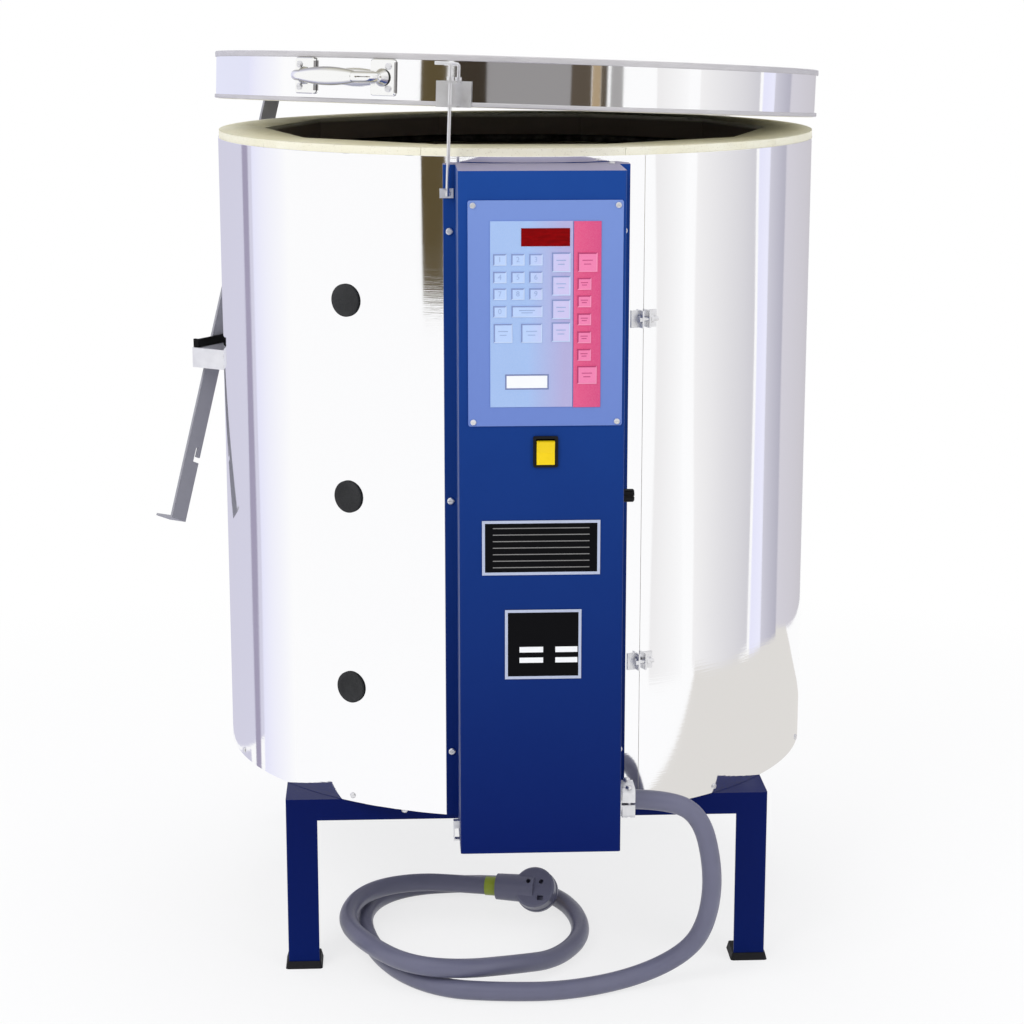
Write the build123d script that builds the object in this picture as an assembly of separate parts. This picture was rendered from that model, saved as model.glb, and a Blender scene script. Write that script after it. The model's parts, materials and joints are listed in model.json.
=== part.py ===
from build123d import *
import math
import os

os.makedirs("parts", exist_ok=True)

# Main sizes of the kiln body, in millimetres. Front is -Y, up is +Z, the feet stand on z = 0.
jacket_radius = 375.0
jacket_gauge = 1.0
chamber_across_flats = 604.0
chamber_sides = 10
chamber_turn = -1.5
course_count = 6
course_height = 114.3
floor_slab_thickness = 76.2
board_thickness = 25.4
pan_gauge = 1.2
brick_proud = 9.0
blanket_thickness = 12.0
brick_joint = 0.5
static_gap = 0.2
stand_height = 218.0

# Lid sizes. The lid swings about a pin behind it, opposite the handle.
lid_azimuth = -34.5
lid_overhang = 2.0
lid_thickness = 56.5
lid_band_rise = 0.6
lid_lip_height = 7.0
lid_hem_height = 5.0
lid_fold_gauge = 1.6
lid_flange_width = 14.0
lid_seat_gap = 0.4
lid_ajar_angle = 3.45
hinge_setback = 25.0
hinge_pin_lift = 3.0
hinge_pin_radius = 5.0
hinge_arm_x = 92.0
hinge_arm_gauge = 4.0
running_gap = 0.06

# Stand sizes
stand_half_x = 294.5
stand_half_y = 299.5
stand_leg_width = 38.0
stand_rail_drop = 27.0
stand_gauge = 3.0
foot_height = 9.0
foot_sole_grip = 3.0
foot_wall = 1.2
foot_flare = 5.0

# Control box sizes
box_left = -87.0
box_right = 96.5
box_front_reach = 107.5
box_top_drop = 7.0
box_foot_drop = 5.0
box_gauge = 1.5
box_flange = 13.5
box_bend = 3.0
plate_standoff = 2.0

# Cord sizes
cord_diameter = 23.0

# Screw slots
slot_half = 0.5
slot_floor = 0.55

# Derived levels
pan_top = stand_height + pan_gauge
slab_base = pan_top + board_thickness
chamber_floor = slab_base + floor_slab_thickness
brick_top = chamber_floor + course_count * course_height
jacket_top = brick_top - brick_proud
chamber_apothem = chamber_across_flats / 2.0
jacket_inner = jacket_radius - jacket_gauge
rim_brick_radius = jacket_inner - static_gap
wall_brick_radius = jacket_inner - static_gap - blanket_thickness - static_gap
lid_radius = jacket_radius + lid_overhang
box_plate_back = jacket_radius + plate_standoff
box_plate_front = box_plate_back + box_gauge
box_front = jacket_radius + box_front_reach
box_top = jacket_top - box_top_drop
box_base = stand_height - box_foot_drop
hinge_y = jacket_radius + hinge_setback + 2.0
hinge_z = brick_top + lid_seat_gap + hinge_pin_lift

nodes = {}


def keep(name, shape):
    """Store one finished piece under its name."""
    nodes[name] = shape
    return shape


def block(x0, x1, y0, y1, z0, z1):
    """Axis-aligned box given by its limits."""
    part = Box(x1 - x0, y1 - y0, z1 - z0)
    return Pos((x0 + x1) / 2, (y0 + y1) / 2, (z0 + z1) / 2) * part


def rod(axis, start, length, radius):
    """Cylinder that starts at a point and runs along +X, +Y or +Z."""
    base = Cylinder(radius, length, align=(Align.CENTER, Align.CENTER, Align.MIN))
    turn = {"x": Rot(0, 90, 0), "y": Rot(-90, 0, 0), "z": Rot(0, 0, 0)}[axis]
    return Pos(*start) * turn * base


def tube(outer, inner, z0, z1):
    """Upright tube around the kiln axis."""
    wall = rod("z", (0, 0, z0), z1 - z0, outer)
    return wall - rod("z", (0, 0, z0 - 1), z1 - z0 + 2, inner)


def at_azimuth(shape, angle):
    """Turn a shape built at the front round to an azimuth, positive to the right."""
    return Rot(0, 0, angle) * shape


def prism(sides, apothem, z0, z1, turn):
    """Upright regular prism with one flat facing the azimuth named turn."""
    radius = apothem / math.cos(math.pi / sides)
    outline = RegularPolygon(radius, sides, rotation=-90.0 + 180.0 / sides + turn)
    return Pos(0, 0, z0) * extrude(outline, z1 - z0)


def sector(outer, inner, half_angle, z0, z1, azimuth):
    """Part of an upright tube, centred on an azimuth."""
    wide = outer * 1.5
    reach = wide * math.tan(math.radians(half_angle))
    wedge = Polygon((0, 0), (-reach, -wide), (reach, -wide), align=None)
    cut = Pos(0, 0, z0) * extrude(wedge, z1 - z0)
    return at_azimuth(tube(outer, inner, z0, z1) & cut, azimuth)


def screw(radius, height, shank_radius, shank):
    """Slotted cheese head screw on the origin, head toward -Y, shank toward +Y."""
    head = rod("y", (0, -height, 0), height, radius)
    head = chamfer(head.edges().group_by(Axis.Y)[0], min(height * 0.4, radius * 0.3))
    slot = block(-radius - 1, radius + 1, -height - 1, -height * slot_floor, -slot_half, slot_half)
    return head - slot + rod("y", (0, 0, 0), shank, shank_radius)


def placed(shape, x, y, z):
    """Move a shape by three distances."""
    return Pos(x, y, z) * shape


def group(shapes):
    """Several separate solids that are kept as one node."""
    solids = []
    for shape in shapes:
        solids.extend(shape.solids())
    return Compound(children=solids)


# Brick shell with element grooves and holes for the element tails
groove_height = 12.0
groove_depth = 14.0
groove_levels = (0.2, 0.7)
coil_radius = 5.0
tail_radius = 1.6
tail_hole = 2.6
tail_x = 34.0
sensor_radius = 4.0
sensor_level = chamber_floor + 2.5 * course_height
plug_spots = ((4, 0.44182), (2, 0.40770), (0, 0.36745))
plug_levels = [chamber_floor + (course + share) * course_height for course, share in plug_spots]
plug_azimuth = -34.5
plug_stem_radius = 12.0
plug_stem_taper = 3.0
plug_gap = 0.35
plug_head_radius = 20.5
plug_head_height = 9.0
plug_shoulder = 3.0


def groove_z(course):
    """Levels of the two groove centres of one course."""
    base = chamber_floor + course * course_height
    return [base + course_height * part for part in groove_levels]


def plug_bore(radius_gap):
    """Tapered cutter along -Y for one peephole, from inside the chamber to outside."""
    span = jacket_radius + 30.0 - chamber_apothem + 20.0
    slope = plug_stem_taper / (jacket_radius - chamber_apothem)
    inner = plug_stem_radius - plug_stem_taper - slope * 20.0 + radius_gap
    outer = plug_stem_radius + slope * 30.0 + radius_gap
    cone = Cone(inner, outer, span, align=(Align.CENTER, Align.CENTER, Align.MIN))
    return Pos(0, -(chamber_apothem - 20.0), 0) * Rot(90, 0, 0) * cone


def wall_cutters():
    """Everything that passes through the wall: plug bores, tails and the sensor."""
    cuts = []
    for level in plug_levels:
        cuts.append(at_azimuth(Pos(0, 0, level) * plug_bore(plug_gap), plug_azimuth))
    for course in range(course_count):
        for level, side in zip(groove_z(course), (-1, 1)):
            start = (side * tail_x, -jacket_radius - 5, level)
            cuts.append(rod("y", start, jacket_radius + 5 - chamber_apothem + 5, tail_hole))
    start = (0, -jacket_radius - 5, sensor_level)
    cuts.append(rod("y", start, jacket_radius + 10 - chamber_apothem + 5, sensor_radius + 0.4))
    return cuts


wall_cuts = wall_cutters()


def near(cuts, z0, z1):
    """The cutters that reach the levels between z0 and z1."""
    found = []
    for cut in cuts:
        box = cut.bounding_box()
        if box.max.Z > z0 and box.min.Z < z1:
            found.append(cut)
    return found


def brick_course(course):
    """One ring of ten mitred bricks with two element grooves."""
    z0 = chamber_floor + course * course_height
    z1 = z0 + course_height - (0.0 if course == course_count - 1 else 0.2)
    outer = rim_brick_radius if course == course_count - 1 else wall_brick_radius
    ring = rod("z", (0, 0, z0), z1 - z0, outer)
    ring = ring - prism(chamber_sides, chamber_apothem, z0 - 1, z1 + 1, chamber_turn)
    for level in groove_z(course):
        low = level - groove_height / 2
        high = level + groove_height / 2
        ring = ring - prism(chamber_sides, chamber_apothem + groove_depth, low, high, chamber_turn)
    for cut in near(wall_cuts, z0, z1):
        ring = ring - cut
    step = 360.0 / chamber_sides
    for index in range(chamber_sides):
        joint = block(-brick_joint / 2, brick_joint / 2, -outer - 5, -chamber_apothem + 20, z0 - 1, z1 + 1)
        ring = ring - at_azimuth(joint, chamber_turn + step / 2 + step * index)
    return group([ring])


course_nodes = {"brick_courses_lower": (0, 1), "brick_courses_middle": (2, 3), "brick_course_upper": (4,)}
course_nodes["brick_course_rim"] = (course_count - 1,)
for name, members in course_nodes.items():
    keep(name, group([brick_course(number) for number in members]))

slab = rod("z", (0, 0, slab_base), floor_slab_thickness - 0.2, wall_brick_radius)
keep("floor_slab", slab)
keep("insulation_board", rod("z", (0, 0, pan_top), board_thickness - 0.2, jacket_inner - 2.0))

blanket_top = chamber_floor + (course_count - 1) * course_height - 0.2
blanket = tube(jacket_inner - static_gap, wall_brick_radius + static_gap, slab_base, blanket_top)
for cutter in wall_cuts:
    blanket = blanket - cutter
keep("insulation_blanket", blanket)

# Polished jacket: wrapped sheet with an open seam beside the control box, base pan and rivets
seam_azimuth = 20.2
seam_width = 0.6
jacket = tube(jacket_radius, jacket_inner, stand_height, jacket_top)
for cutter in wall_cuts:
    jacket = jacket - cutter
seam_cut = block(-seam_width / 2, seam_width / 2, -jacket_radius - 5, -jacket_inner + 5, 0, 2000)
jacket = jacket - at_azimuth(seam_cut, seam_azimuth)
keep("jacket", jacket)

pan_radius = jacket_inner - static_gap
pan = rod("z", (0, 0, stand_height), pan_gauge, pan_radius)
pan_lip = tube(pan_radius, pan_radius - pan_gauge, stand_height, stand_height + 18.0)
keep("base_pan", pan + pan_lip)

rivet_level = stand_height + 8.0
rivets = []
for index in [0, 2, 3, 4, 5, 6, 7, 8, 9]:
    head = rod("y", (0, -1.8, 0), 1.8, 3.6)
    head = chamfer(head.edges().group_by(Axis.Y)[0], 1.0)
    spot = placed(head, 0, -jacket_radius - 0.05, rivet_level)
    rivets.append(at_azimuth(spot, -34.5 + 36.0 * index))

# Two draw clamps that pull the seam shut
clamp_levels = (810.8, 403.0)
lug_width = 13.0
lug_height = 20.0
lug_reach = 9.0
clamp_bolt_radius = 2.5


def clamp_lug(side):
    """Bent lug: a curved foot on the jacket and a raised ear beside the seam."""
    foot_half = math.degrees(lug_width / 2 / jacket_radius)
    turn = side * math.degrees((lug_width / 2 + 3.0) / jacket_radius)
    foot = sector(jacket_radius + 1.8, jacket_radius + 0.1, foot_half, -lug_height / 2, lug_height / 2, turn)
    near_x = side * 3.4
    far_x = side * 5.4
    ear = block(min(near_x, far_x), max(near_x, far_x), -jacket_radius - lug_reach, -jacket_radius - 0.4,
                -lug_height / 2, lug_height / 2)
    ear = ear - rod("x", (-20, -jacket_radius - 5.4, 0), 40, clamp_bolt_radius + 0.05)
    return foot + ear


def clamp_bolt():
    """Hexagon headed draw bolt across the seam."""
    shank = rod("x", (-8.4, -jacket_radius - 5.4, 0), 24.0, clamp_bolt_radius)
    hexagon = Pos(-8.8, -jacket_radius - 5.4, 0) * Rot(0, 90, 0) * extrude(RegularPolygon(4.4, 6), 3.2)
    return shank + hexagon


def clamp_nut():
    """Nut on the far ear."""
    nut = Pos(5.6, -jacket_radius - 5.4, 0) * Rot(0, 90, 0) * extrude(RegularPolygon(4.4, 6), 4.0)
    return nut - rod("x", (0, -jacket_radius - 5.4, 0), 20, clamp_bolt_radius + 0.05)


def both_clamps(builder):
    """The same piece at both clamp levels."""
    return group([at_azimuth(placed(builder(), 0, 0, level), seam_azimuth) for level in clamp_levels])


seam_lugs = [both_clamps(lambda: clamp_lug(-1)), both_clamps(lambda: clamp_lug(1))]
keep("seam_clamps", group(seam_lugs + [both_clamps(clamp_bolt), both_clamps(clamp_nut)]))

# Heating elements: two rows per course with tails through the front wall, and their insulators
element_apothem = chamber_apothem + groove_depth - coil_radius - 0.3


def element_row(level, side):
    """One row: a ten sided loop inside the coil's outer size, with one straight tail outward."""
    radius = element_apothem / math.cos(math.pi / chamber_sides)
    corners = []
    for index in range(chamber_sides):
        angle = math.radians(chamber_turn + 18.0 + 36.0 * index)
        corners.append((radius * math.sin(angle), -radius * math.cos(angle), level))
    loop = Polyline(*corners, close=True)
    first = Vector(*corners[0])
    along = Vector(*corners[1]) - first
    section = Plane(origin=first + along * 0.5, z_dir=along.normalized())
    ring = sweep(section * RegularPolygon(coil_radius, 8), path=loop, transition=Transition.RIGHT)
    tail_start = -(jacket_radius + 22.0)
    tail_length = jacket_radius + 22.0 - element_apothem
    return ring + rod("y", (side * tail_x, tail_start, level), tail_length, tail_radius)


element_rows = []
for number in range(course_count):
    for level, side in zip(groove_z(number), (-1, 1)):
        element_rows.append(element_row(level, side))
keep("heating_elements", group(element_rows))

insulators = []
for number in range(course_count):
    for level, side in zip(groove_z(number), (-1, 1)):
        bead = rod("y", (side * tail_x, -(jacket_radius + 14.0), level), 8.0, 5.5)
        bead = bead - rod("y", (side * tail_x, -(jacket_radius + 15.0), level), 10.0, tail_radius + 0.06)
        insulators.append(bead)

sensor = rod("y", (0, -(jacket_radius + 18.0), sensor_level), jacket_radius + 18.0 - 262.0, sensor_radius)
sensor = sensor + rod("y", (0, -(jacket_radius + 40.0), sensor_level), 24.0, 9.0)
keep("thermocouple", sensor)

# Peephole plugs: tapered ceramic stem and a round head with a finger groove


def peephole_plug():
    """Plug along -Y; the head seats just outside the jacket."""
    slope = plug_stem_taper / (jacket_radius - chamber_apothem)
    length = jacket_radius - chamber_apothem + plug_shoulder
    inner = plug_stem_radius - plug_stem_taper
    outer = plug_stem_radius + slope * plug_shoulder
    stem = Cone(inner, outer, length, align=(Align.CENTER, Align.CENTER, Align.MIN))
    stem = Pos(0, -chamber_apothem, 0) * Rot(90, 0, 0) * stem
    seat = jacket_radius + 0.5
    head = rod("y", (0, -seat - plug_head_height, 0), plug_head_height, plug_head_radius)
    head = chamfer(head.edges().group_by(Axis.Y)[0], 1.8)
    dish = rod("y", (0, -seat - plug_head_height - 1, 0), 3.0, plug_head_radius - 6.0)
    return head - dish + stem


for number, level in enumerate(plug_levels):
    plug = at_azimuth(placed(peephole_plug(), 0, 0, level), plug_azimuth)
    keep(f"peephole_plug_{number + 1}", plug)

# Stand: welded angle iron frame with four legs, cross straps and rubber feet


def stand_side(half_along, half_out):
    """One rail along X at the front: a flat flange on top and an upright flange outside."""
    flat = block(-half_along, half_along, -half_out, -half_out + stand_leg_width,
                 stand_height - stand_gauge, stand_height)
    upright = block(-half_along, half_along, -half_out, -half_out + stand_gauge,
                    stand_height - stand_rail_drop, stand_height)
    return flat + upright


def span(a, b):
    """Two limits in rising order."""
    return min(a, b), max(a, b)


def leg_walls(sx, sy):
    """The two flat walls of the angle iron leg at one corner."""
    x_out = sx * stand_half_x
    y_out = sy * stand_half_y
    wall_a = block(*span(x_out, x_out - sx * stand_leg_width), *span(y_out, y_out - sy * stand_gauge),
                   foot_sole_grip, stand_height)
    wall_b = block(*span(x_out, x_out - sx * stand_gauge), *span(y_out, y_out - sy * stand_leg_width),
                   foot_sole_grip, stand_height)
    return [wall_a, wall_b]


frame = stand_side(stand_half_x, stand_half_y)
frame = frame + Rot(0, 0, 180) * stand_side(stand_half_x, stand_half_y)
frame = frame + Rot(0, 0, 90) * stand_side(stand_half_y, stand_half_x)
frame = frame + Rot(0, 0, -90) * stand_side(stand_half_y, stand_half_x)
for sign_x in (-1, 1):
    for sign_y in (-1, 1):
        walls = leg_walls(sign_x, sign_y)
        frame = frame + walls[0] + walls[1]
for strap_x in (-110.0, 110.0):
    frame = frame + block(strap_x - 19, strap_x + 19, -stand_half_y + stand_gauge, stand_half_y - stand_gauge,
                          stand_height - stand_gauge, stand_height)
outer_corners = []
for edge in frame.edges().filter_by(Axis.Z):
    center = edge.center()
    if abs(abs(center.X) - stand_half_x) < 0.01 and abs(abs(center.Y) - stand_half_y) < 0.01:
        outer_corners.append(edge)
frame = fillet(outer_corners, 2.5)
bolt_spots = []
for along in (-1, 1):
    bolt_spots.append((along * 150.0, -1))
    bolt_spots.append((along * 150.0, 1))
for spot_x, side in bolt_spots:
    hole_y = side * (stand_half_y - 10)
    frame = frame - rod("y", (spot_x, hole_y - 20, stand_height - 14.5), 40, 2.6)
keep("stand_frame", frame)

frame_bolts = []
for spot_x, side in bolt_spots:
    bolt = placed(screw(4.0, 2.4, 2.5, 9.0), spot_x, -stand_half_y, stand_height - 14.5)
    frame_bolts.append(bolt if side < 0 else Rot(0, 0, 180) * bolt)


def rubber_foot(sx, sy):
    """Flared rubber boot around a leg end, with the angle's own pocket."""
    half = stand_leg_width / 2
    center_x = sx * (stand_half_x - half)
    center_y = sy * (stand_half_y - half)
    top_side = 2 * half + 2 * foot_wall
    low = Plane.XY * RectangleRounded(top_side + foot_flare, top_side + foot_flare, 4)
    high = Plane.XY.offset(foot_height) * RectangleRounded(top_side, top_side, 2)
    boot = Pos(center_x, center_y, 0) * loft([low, high])
    grow = 0.15
    for wall in leg_walls(sx, sy):
        box = wall.bounding_box()
        boot = boot - block(box.min.X - grow, box.max.X + grow, box.min.Y - grow, box.max.Y + grow,
                            foot_sole_grip, foot_height + 5)
    return boot


keep("rubber_feet", group([rubber_foot(sx, sy) for sx in (-1, 1) for sy in (-1, 1)]))

# Control box: back plate with returns that follow the jacket, and a folded cover with side flanges
back_top = box_top - 1.0
back_base = stand_height + 4.0
plate_left = box_left - box_flange
plate_right = box_right + box_flange
back = block(plate_left, plate_right, -box_plate_front, -box_plate_back, back_base, back_top)
back_reach = -(jacket_radius - 35.0)
back = back + block(plate_left, plate_left + box_gauge, -box_plate_front, back_reach, back_base, back_top)
back = back + block(plate_right - box_gauge, plate_right, -box_plate_front, back_reach, back_base, back_top)
back = back + block(plate_left, plate_right, -box_plate_front, back_reach, back_top - box_gauge, back_top)
back = back + block(plate_left, plate_right, -box_plate_front, back_reach, back_base, back_base + box_gauge)
back = back - rod("z", (0, 0, 0), 2000, jacket_radius + 0.3)
for cutter in wall_cuts[len(plug_levels):]:
    box = cutter.bounding_box()
    cx = (box.min.X + box.max.X) / 2
    cz = (box.min.Z + box.max.Z) / 2
    back = back - rod("y", (cx, -box_plate_front - 2, cz), 6, 6.2 if abs(cx) > 1 else 10.0)

cover = block(box_left, box_right, -box_front, -box_plate_front - 0.1, box_base, box_top)
upright_edges = cover.edges().filter_by(Axis.Z).group_by(Axis.Y)[0]
cover = fillet(upright_edges, box_bend)
hollow = block(box_left + box_gauge, box_right - box_gauge, -box_front + box_gauge, -box_plate_front + 5,
               box_base + box_gauge, box_top - box_gauge)
cover = cover - hollow
flange_y0 = -box_plate_front - 0.1 - box_gauge
flange_y1 = -box_plate_front - 0.1
cover = cover + block(plate_left, box_left + 1, flange_y0, flange_y1, back_base + 2, back_top)
cover = cover + block(box_right - 1, plate_right, flange_y0, flange_y1, back_base + 2, back_top)

# Openings in the cover for the controls, the fuse, the cord clamp and the cooling slots
faceplate_left = -76.5
faceplate_right = 93.0
faceplate_base = box_top - 279.6
faceplate_top = box_top - 31.6
faceplate_gauge = 1.6
switch_x = 8.9
switch_z = box_top - 308.7
switch_width = 27.6
switch_height = 35.0
rocker_width = 20.0
rocker_height = 27.4
fuse_y = -(jacket_radius + 60.0)
fuse_z = box_top - 369.6
fuse_body_radius = 6.5
clamp_y = -(jacket_radius + 55.0)
clamp_z = box_base + 45.0

panel_hole = block(-48, 65, -box_front - 1, -box_front + 5, faceplate_base + 24, faceplate_top - 25)
cover = cover - panel_hole
cover = cover - block(switch_x - 12.2, switch_x + 12.2, -box_front - 1, -box_front + 5,
                      switch_z - 15.6, switch_z + 15.6)
cover = cover - rod("x", (box_right - 5, fuse_y, fuse_z), 10, fuse_body_radius + 0.15)
cover = cover - rod("x", (box_right - 5, clamp_y, clamp_z), 10, 15.0)
for index in range(7):
    slot_y = -box_front + 22.0 + index * 11.0
    cover = cover - block(-55, 62, slot_y, slot_y + 4.0, box_base - 1, box_base + 3)
for index in range(6):
    slot_z = box_top - 170.6 + index * 12.0
    cover = cover - block(box_right - 4, box_right + 4, -box_front + 22.5, -box_front + 77.5, slot_z, slot_z + 4.0)

flange_screw_levels = (box_top - 75.7, box_top - 385.7, box_base + 90.0)
flange_screws = []
for side_x in (box_left - box_flange / 2, box_right + box_flange / 2):
    for level in flange_screw_levels:
        flange_screws.append(placed(screw(4.0, 2.6, 1.9, 6.0), side_x, flange_y0, level))
        hole = rod("y", (side_x, -box_plate_front - 5, level), 12, 2.0)
        cover = cover - hole
        back = back - hole
top_screw = Rot(-90, 0, 0) * screw(3.6, 2.2, 1.9, 5.0)
top_screw_x = box_right - 8.5
top_screw_y = -(jacket_radius + 17.0)
cover = cover - rod("z", (top_screw_x, top_screw_y, box_top - 5), 10, 2.0)
flange_screws.append(placed(top_screw, top_screw_x, top_screw_y, box_top))
keep("box_back_plate", back)
keep("box_cover", cover)

# Faceplate, keypad and window
face_y1 = -box_front
face_y0 = -box_front - faceplate_gauge
faceplate = block(faceplate_left, faceplate_right, face_y0, face_y1, faceplate_base, faceplate_top)
faceplate = fillet(faceplate.edges().filter_by(Axis.Y), 2.5)
keep("faceplate", faceplate)
plate_screws = []
for screw_x in (faceplate_left + 5.5, faceplate_right - 5.5):
    for screw_z in (faceplate_base + 4.5, faceplate_top - 5.5):
        plate_screws.append(placed(screw(3.2, 1.8, 1.6, 1.4), screw_x, face_y0, screw_z))
for item in plate_screws:
    box = item.bounding_box()
    hole_x = (box.min.X + box.max.X) / 2
    hole_z = (box.min.Z + box.max.Z) / 2
    nodes["faceplate"] = nodes["faceplate"] - rod("y", (hole_x, face_y0 - 1, hole_z), 5.0, 1.7)

overlay_gauge = 0.8
overlay_y0 = face_y0 - overlay_gauge
overlay_top = faceplate_top - 22.4
overlay_base = faceplate_base + 21.4
overlay = block(-52.2, 38.0, overlay_y0, face_y0, overlay_base, overlay_top)
overlay = overlay - block(-18.6, 34.8, overlay_y0 - 1, face_y0 + 1, overlay_top - 27.4, overlay_top - 7.6)
keep("keypad_overlay", overlay)
strip = block(39.0, 68.9, overlay_y0, face_y0, overlay_base - 0.6, overlay_top - 0.3)
keep("function_strip", strip)
window = block(-18.5, 34.7, overlay_y0 - 0.2, face_y0, overlay_top - 27.3, overlay_top - 7.7)
keep("display_window", window)

key_raise = 0.5


def pad(x, z, width, height):
    """One embossed key pad with rounded corners."""
    outline = RectangleRounded(width, height, 1.6)
    return Pos(x, overlay_y0, z) * Rot(90, 0, 0) * extrude(outline, key_raise)


number_keys = []
for drop in (41.8, 61.0, 79.3):
    for key_x in (-41.7, -22.0, -2.4):
        number_keys.append(pad(key_x, overlay_top - drop, 14.6, 12.6))
number_keys.append(pad(-41.7, overlay_top - 98.5, 14.6, 12.6))
number_keys.append(pad(-12.0, overlay_top - 98.5, 34.0, 12.6))
number_keys.append(pad(-38.2, overlay_top - 122.3, 20.6, 21.0))
number_keys.append(pad(-7.0, overlay_top - 122.3, 23.0, 21.0))
for drop in (44.8, 70.4, 96.2, 121.2):
    number_keys.append(pad(25.2, overlay_top - drop, 20.4, 21.4))
keep("number_keys", group(number_keys))

function_keys = [pad(53.9, overlay_top - 44.8, 21.6, 21.0), pad(53.9, overlay_top - 168.9, 21.6, 20.0)]
for drop in (68.4, 87.6, 107.4, 127.2, 146.6):
    function_keys.append(pad(50.6, overlay_top - drop, 15.2, 13.0))
keep("function_keys", group(function_keys))

# Rocker switch: bezel with its body, and the yellow rocker on a cross pin
bezel = block(switch_x - switch_width / 2, switch_x + switch_width / 2, -box_front - 2.6, -box_front,
              switch_z - switch_height / 2, switch_z + switch_height / 2)
bezel = fillet(bezel.edges().filter_by(Axis.Y), 2.0)
body = block(switch_x - 12.0, switch_x + 12.0, -box_front, -box_front + 24.0, switch_z - 15.4, switch_z + 15.4)
well = block(switch_x - rocker_width / 2 - 0.5, switch_x + rocker_width / 2 + 0.5, -box_front - 3.0,
             -box_front + 13.0, switch_z - rocker_height / 2 - 0.8, switch_z + rocker_height / 2 + 0.8)
rocker_pivot_y = -box_front + 3.0
rocker_pin = rod("x", (switch_x - 11.4, rocker_pivot_y, switch_z), 22.8, 1.5)
terminals = block(switch_x - 7, switch_x - 1, -box_front + 24, -box_front + 32, switch_z - 1, switch_z + 1)
terminals = terminals + placed(terminals, 8, 0, 8) + placed(terminals, 0, 0, -10)
switch_shell = (bezel + body + terminals) - well + rocker_pin
keep("switch_body", switch_shell)

half_rocker = rocker_height / 2 - 0.4
rocker_profile = Polygon((0, -6.4), (half_rocker, -8.4), (half_rocker, -3.6), (5.0, 5.0), (-5.0, 5.0),
                         (-half_rocker, -3.6), (-half_rocker, -8.4), align=None)
rocker_shape = Rot(0, -90, 0) * extrude(rocker_profile, rocker_width / 2, both=True)
rocker_tilt = 9.0
rocker_shape = rocker_shape - rod("x", (-30, 0, 0), 60, 1.5 + running_gap)
rocker = Pos(switch_x, rocker_pivot_y, switch_z) * Rot(rocker_tilt, 0, 0) * rocker_shape
keep("switch_rocker", rocker)

# Two bare plates on the cover
upper_plate = block(-61.7, 70.3, -box_front - 0.8, -box_front, box_top - 449.0, box_top - 386.7)
lower_plate = block(-36.2, 49.8, -box_front - 0.8, -box_front, box_top - 569.9, box_top - 489.3)
bare_plates = [fillet(item.edges().filter_by(Axis.Y), 2.0) for item in (upper_plate, lower_plate)]
keep("bare_plates", group(bare_plates))

# Fuse holder and its turning cap on the right side of the cover
fuse_body = rod("x", (box_right - 34.0, fuse_y, fuse_z), 36.5, fuse_body_radius)
fuse_body = fuse_body + rod("x", (box_right, fuse_y, fuse_z), 2.0, 8.6)
fuse_body = fuse_body - rod("x", (box_right - 28.0, fuse_y, fuse_z), 60.0, 3.6)
keep("fuse_holder", fuse_body)
fuse_cap = rod("x", (box_right + 2.9, fuse_y, fuse_z), 13.0, 7.5)
fuse_cap = chamfer(fuse_cap.edges().group_by(Axis.X)[-1], 1.2)
fuse_cap = fuse_cap - block(box_right + 14.0, box_right + 17.0, fuse_y - 9, fuse_y + 9, fuse_z - 0.9, fuse_z + 0.9)
for index in range(8):
    notch = block(box_right + 5.0, box_right + 13.5, 6.9, 8.5, -0.7, 0.7)
    fuse_cap = fuse_cap - Pos(0, fuse_y, fuse_z) * Rot(45.0 * index, 0, 0) * notch
fuse_cap = fuse_cap + rod("x", (box_right - 20.0, fuse_y, fuse_z), 23.0, 3.6 - running_gap)
keep("fuse_cap", fuse_cap)

# Cord clamp: threaded neck through the cover, split saddle and two screws
clamp_outer = 19.0
neck = rod("x", (box_right - 8.0, clamp_y, clamp_z), 8.2, 14.8)
neck = neck + rod("x", (box_right, clamp_y, clamp_z), 5.0, clamp_outer)
saddle = block(box_right + 5.0, box_right + 20.0, clamp_y - 19.0, clamp_y + 19.0, clamp_z - 18.0, clamp_z + 18.0)
saddle = chamfer(saddle.edges().filter_by(Axis.X), 4.0)
split = block(box_right + 4.0, box_right + 21.0, clamp_y - 20.0, clamp_y + 20.0, clamp_z - 1.5, clamp_z + 1.5)
clamp_body = neck + saddle
clamp_body = clamp_body - split
clamp_body = clamp_body - rod("x", (box_right - 12, clamp_y, clamp_z), 50, cord_diameter / 2 + 0.05)
for screw_y in (clamp_y - 14.5, clamp_y + 14.5):
    clamp_body = clamp_body - rod("z", (box_right + 13.0, screw_y, clamp_z - 20), 60, 2.05)
under = (clamp_y - 70.0, clamp_y + 130.0, 0, clamp_z - 1)
lower_half = clamp_body & block(box_right + 5.05, box_right + 30, *under)
upper_half = clamp_body - block(box_right + 5.0, box_right + 30, *under)
clamp_screws = []
for screw_y in (clamp_y - 14.5, clamp_y + 14.5):
    upright = Rot(-90, 0, 0) * screw(4.0, 2.8, 2.0, 30.0)
    clamp_screws.append(placed(upright, box_right + 13.0, screw_y, clamp_z + 18.0))
keep("cord_clamp", group([upper_half, lower_half] + clamp_screws))

clip_front = -(jacket_radius + 66.0)
clip_base = box_base + 1.0
side_clip = block(box_left - 7.0, box_left, clip_front, clip_front + 8.0, clip_base, clip_base + 24.0)
side_clip = side_clip - block(box_left - 5.8, box_left + 1.0, clip_front - 1, clip_front + 9.0,
                              clip_base + 2.0, clip_base + 15.0)
keep("side_clip", side_clip)

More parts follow.
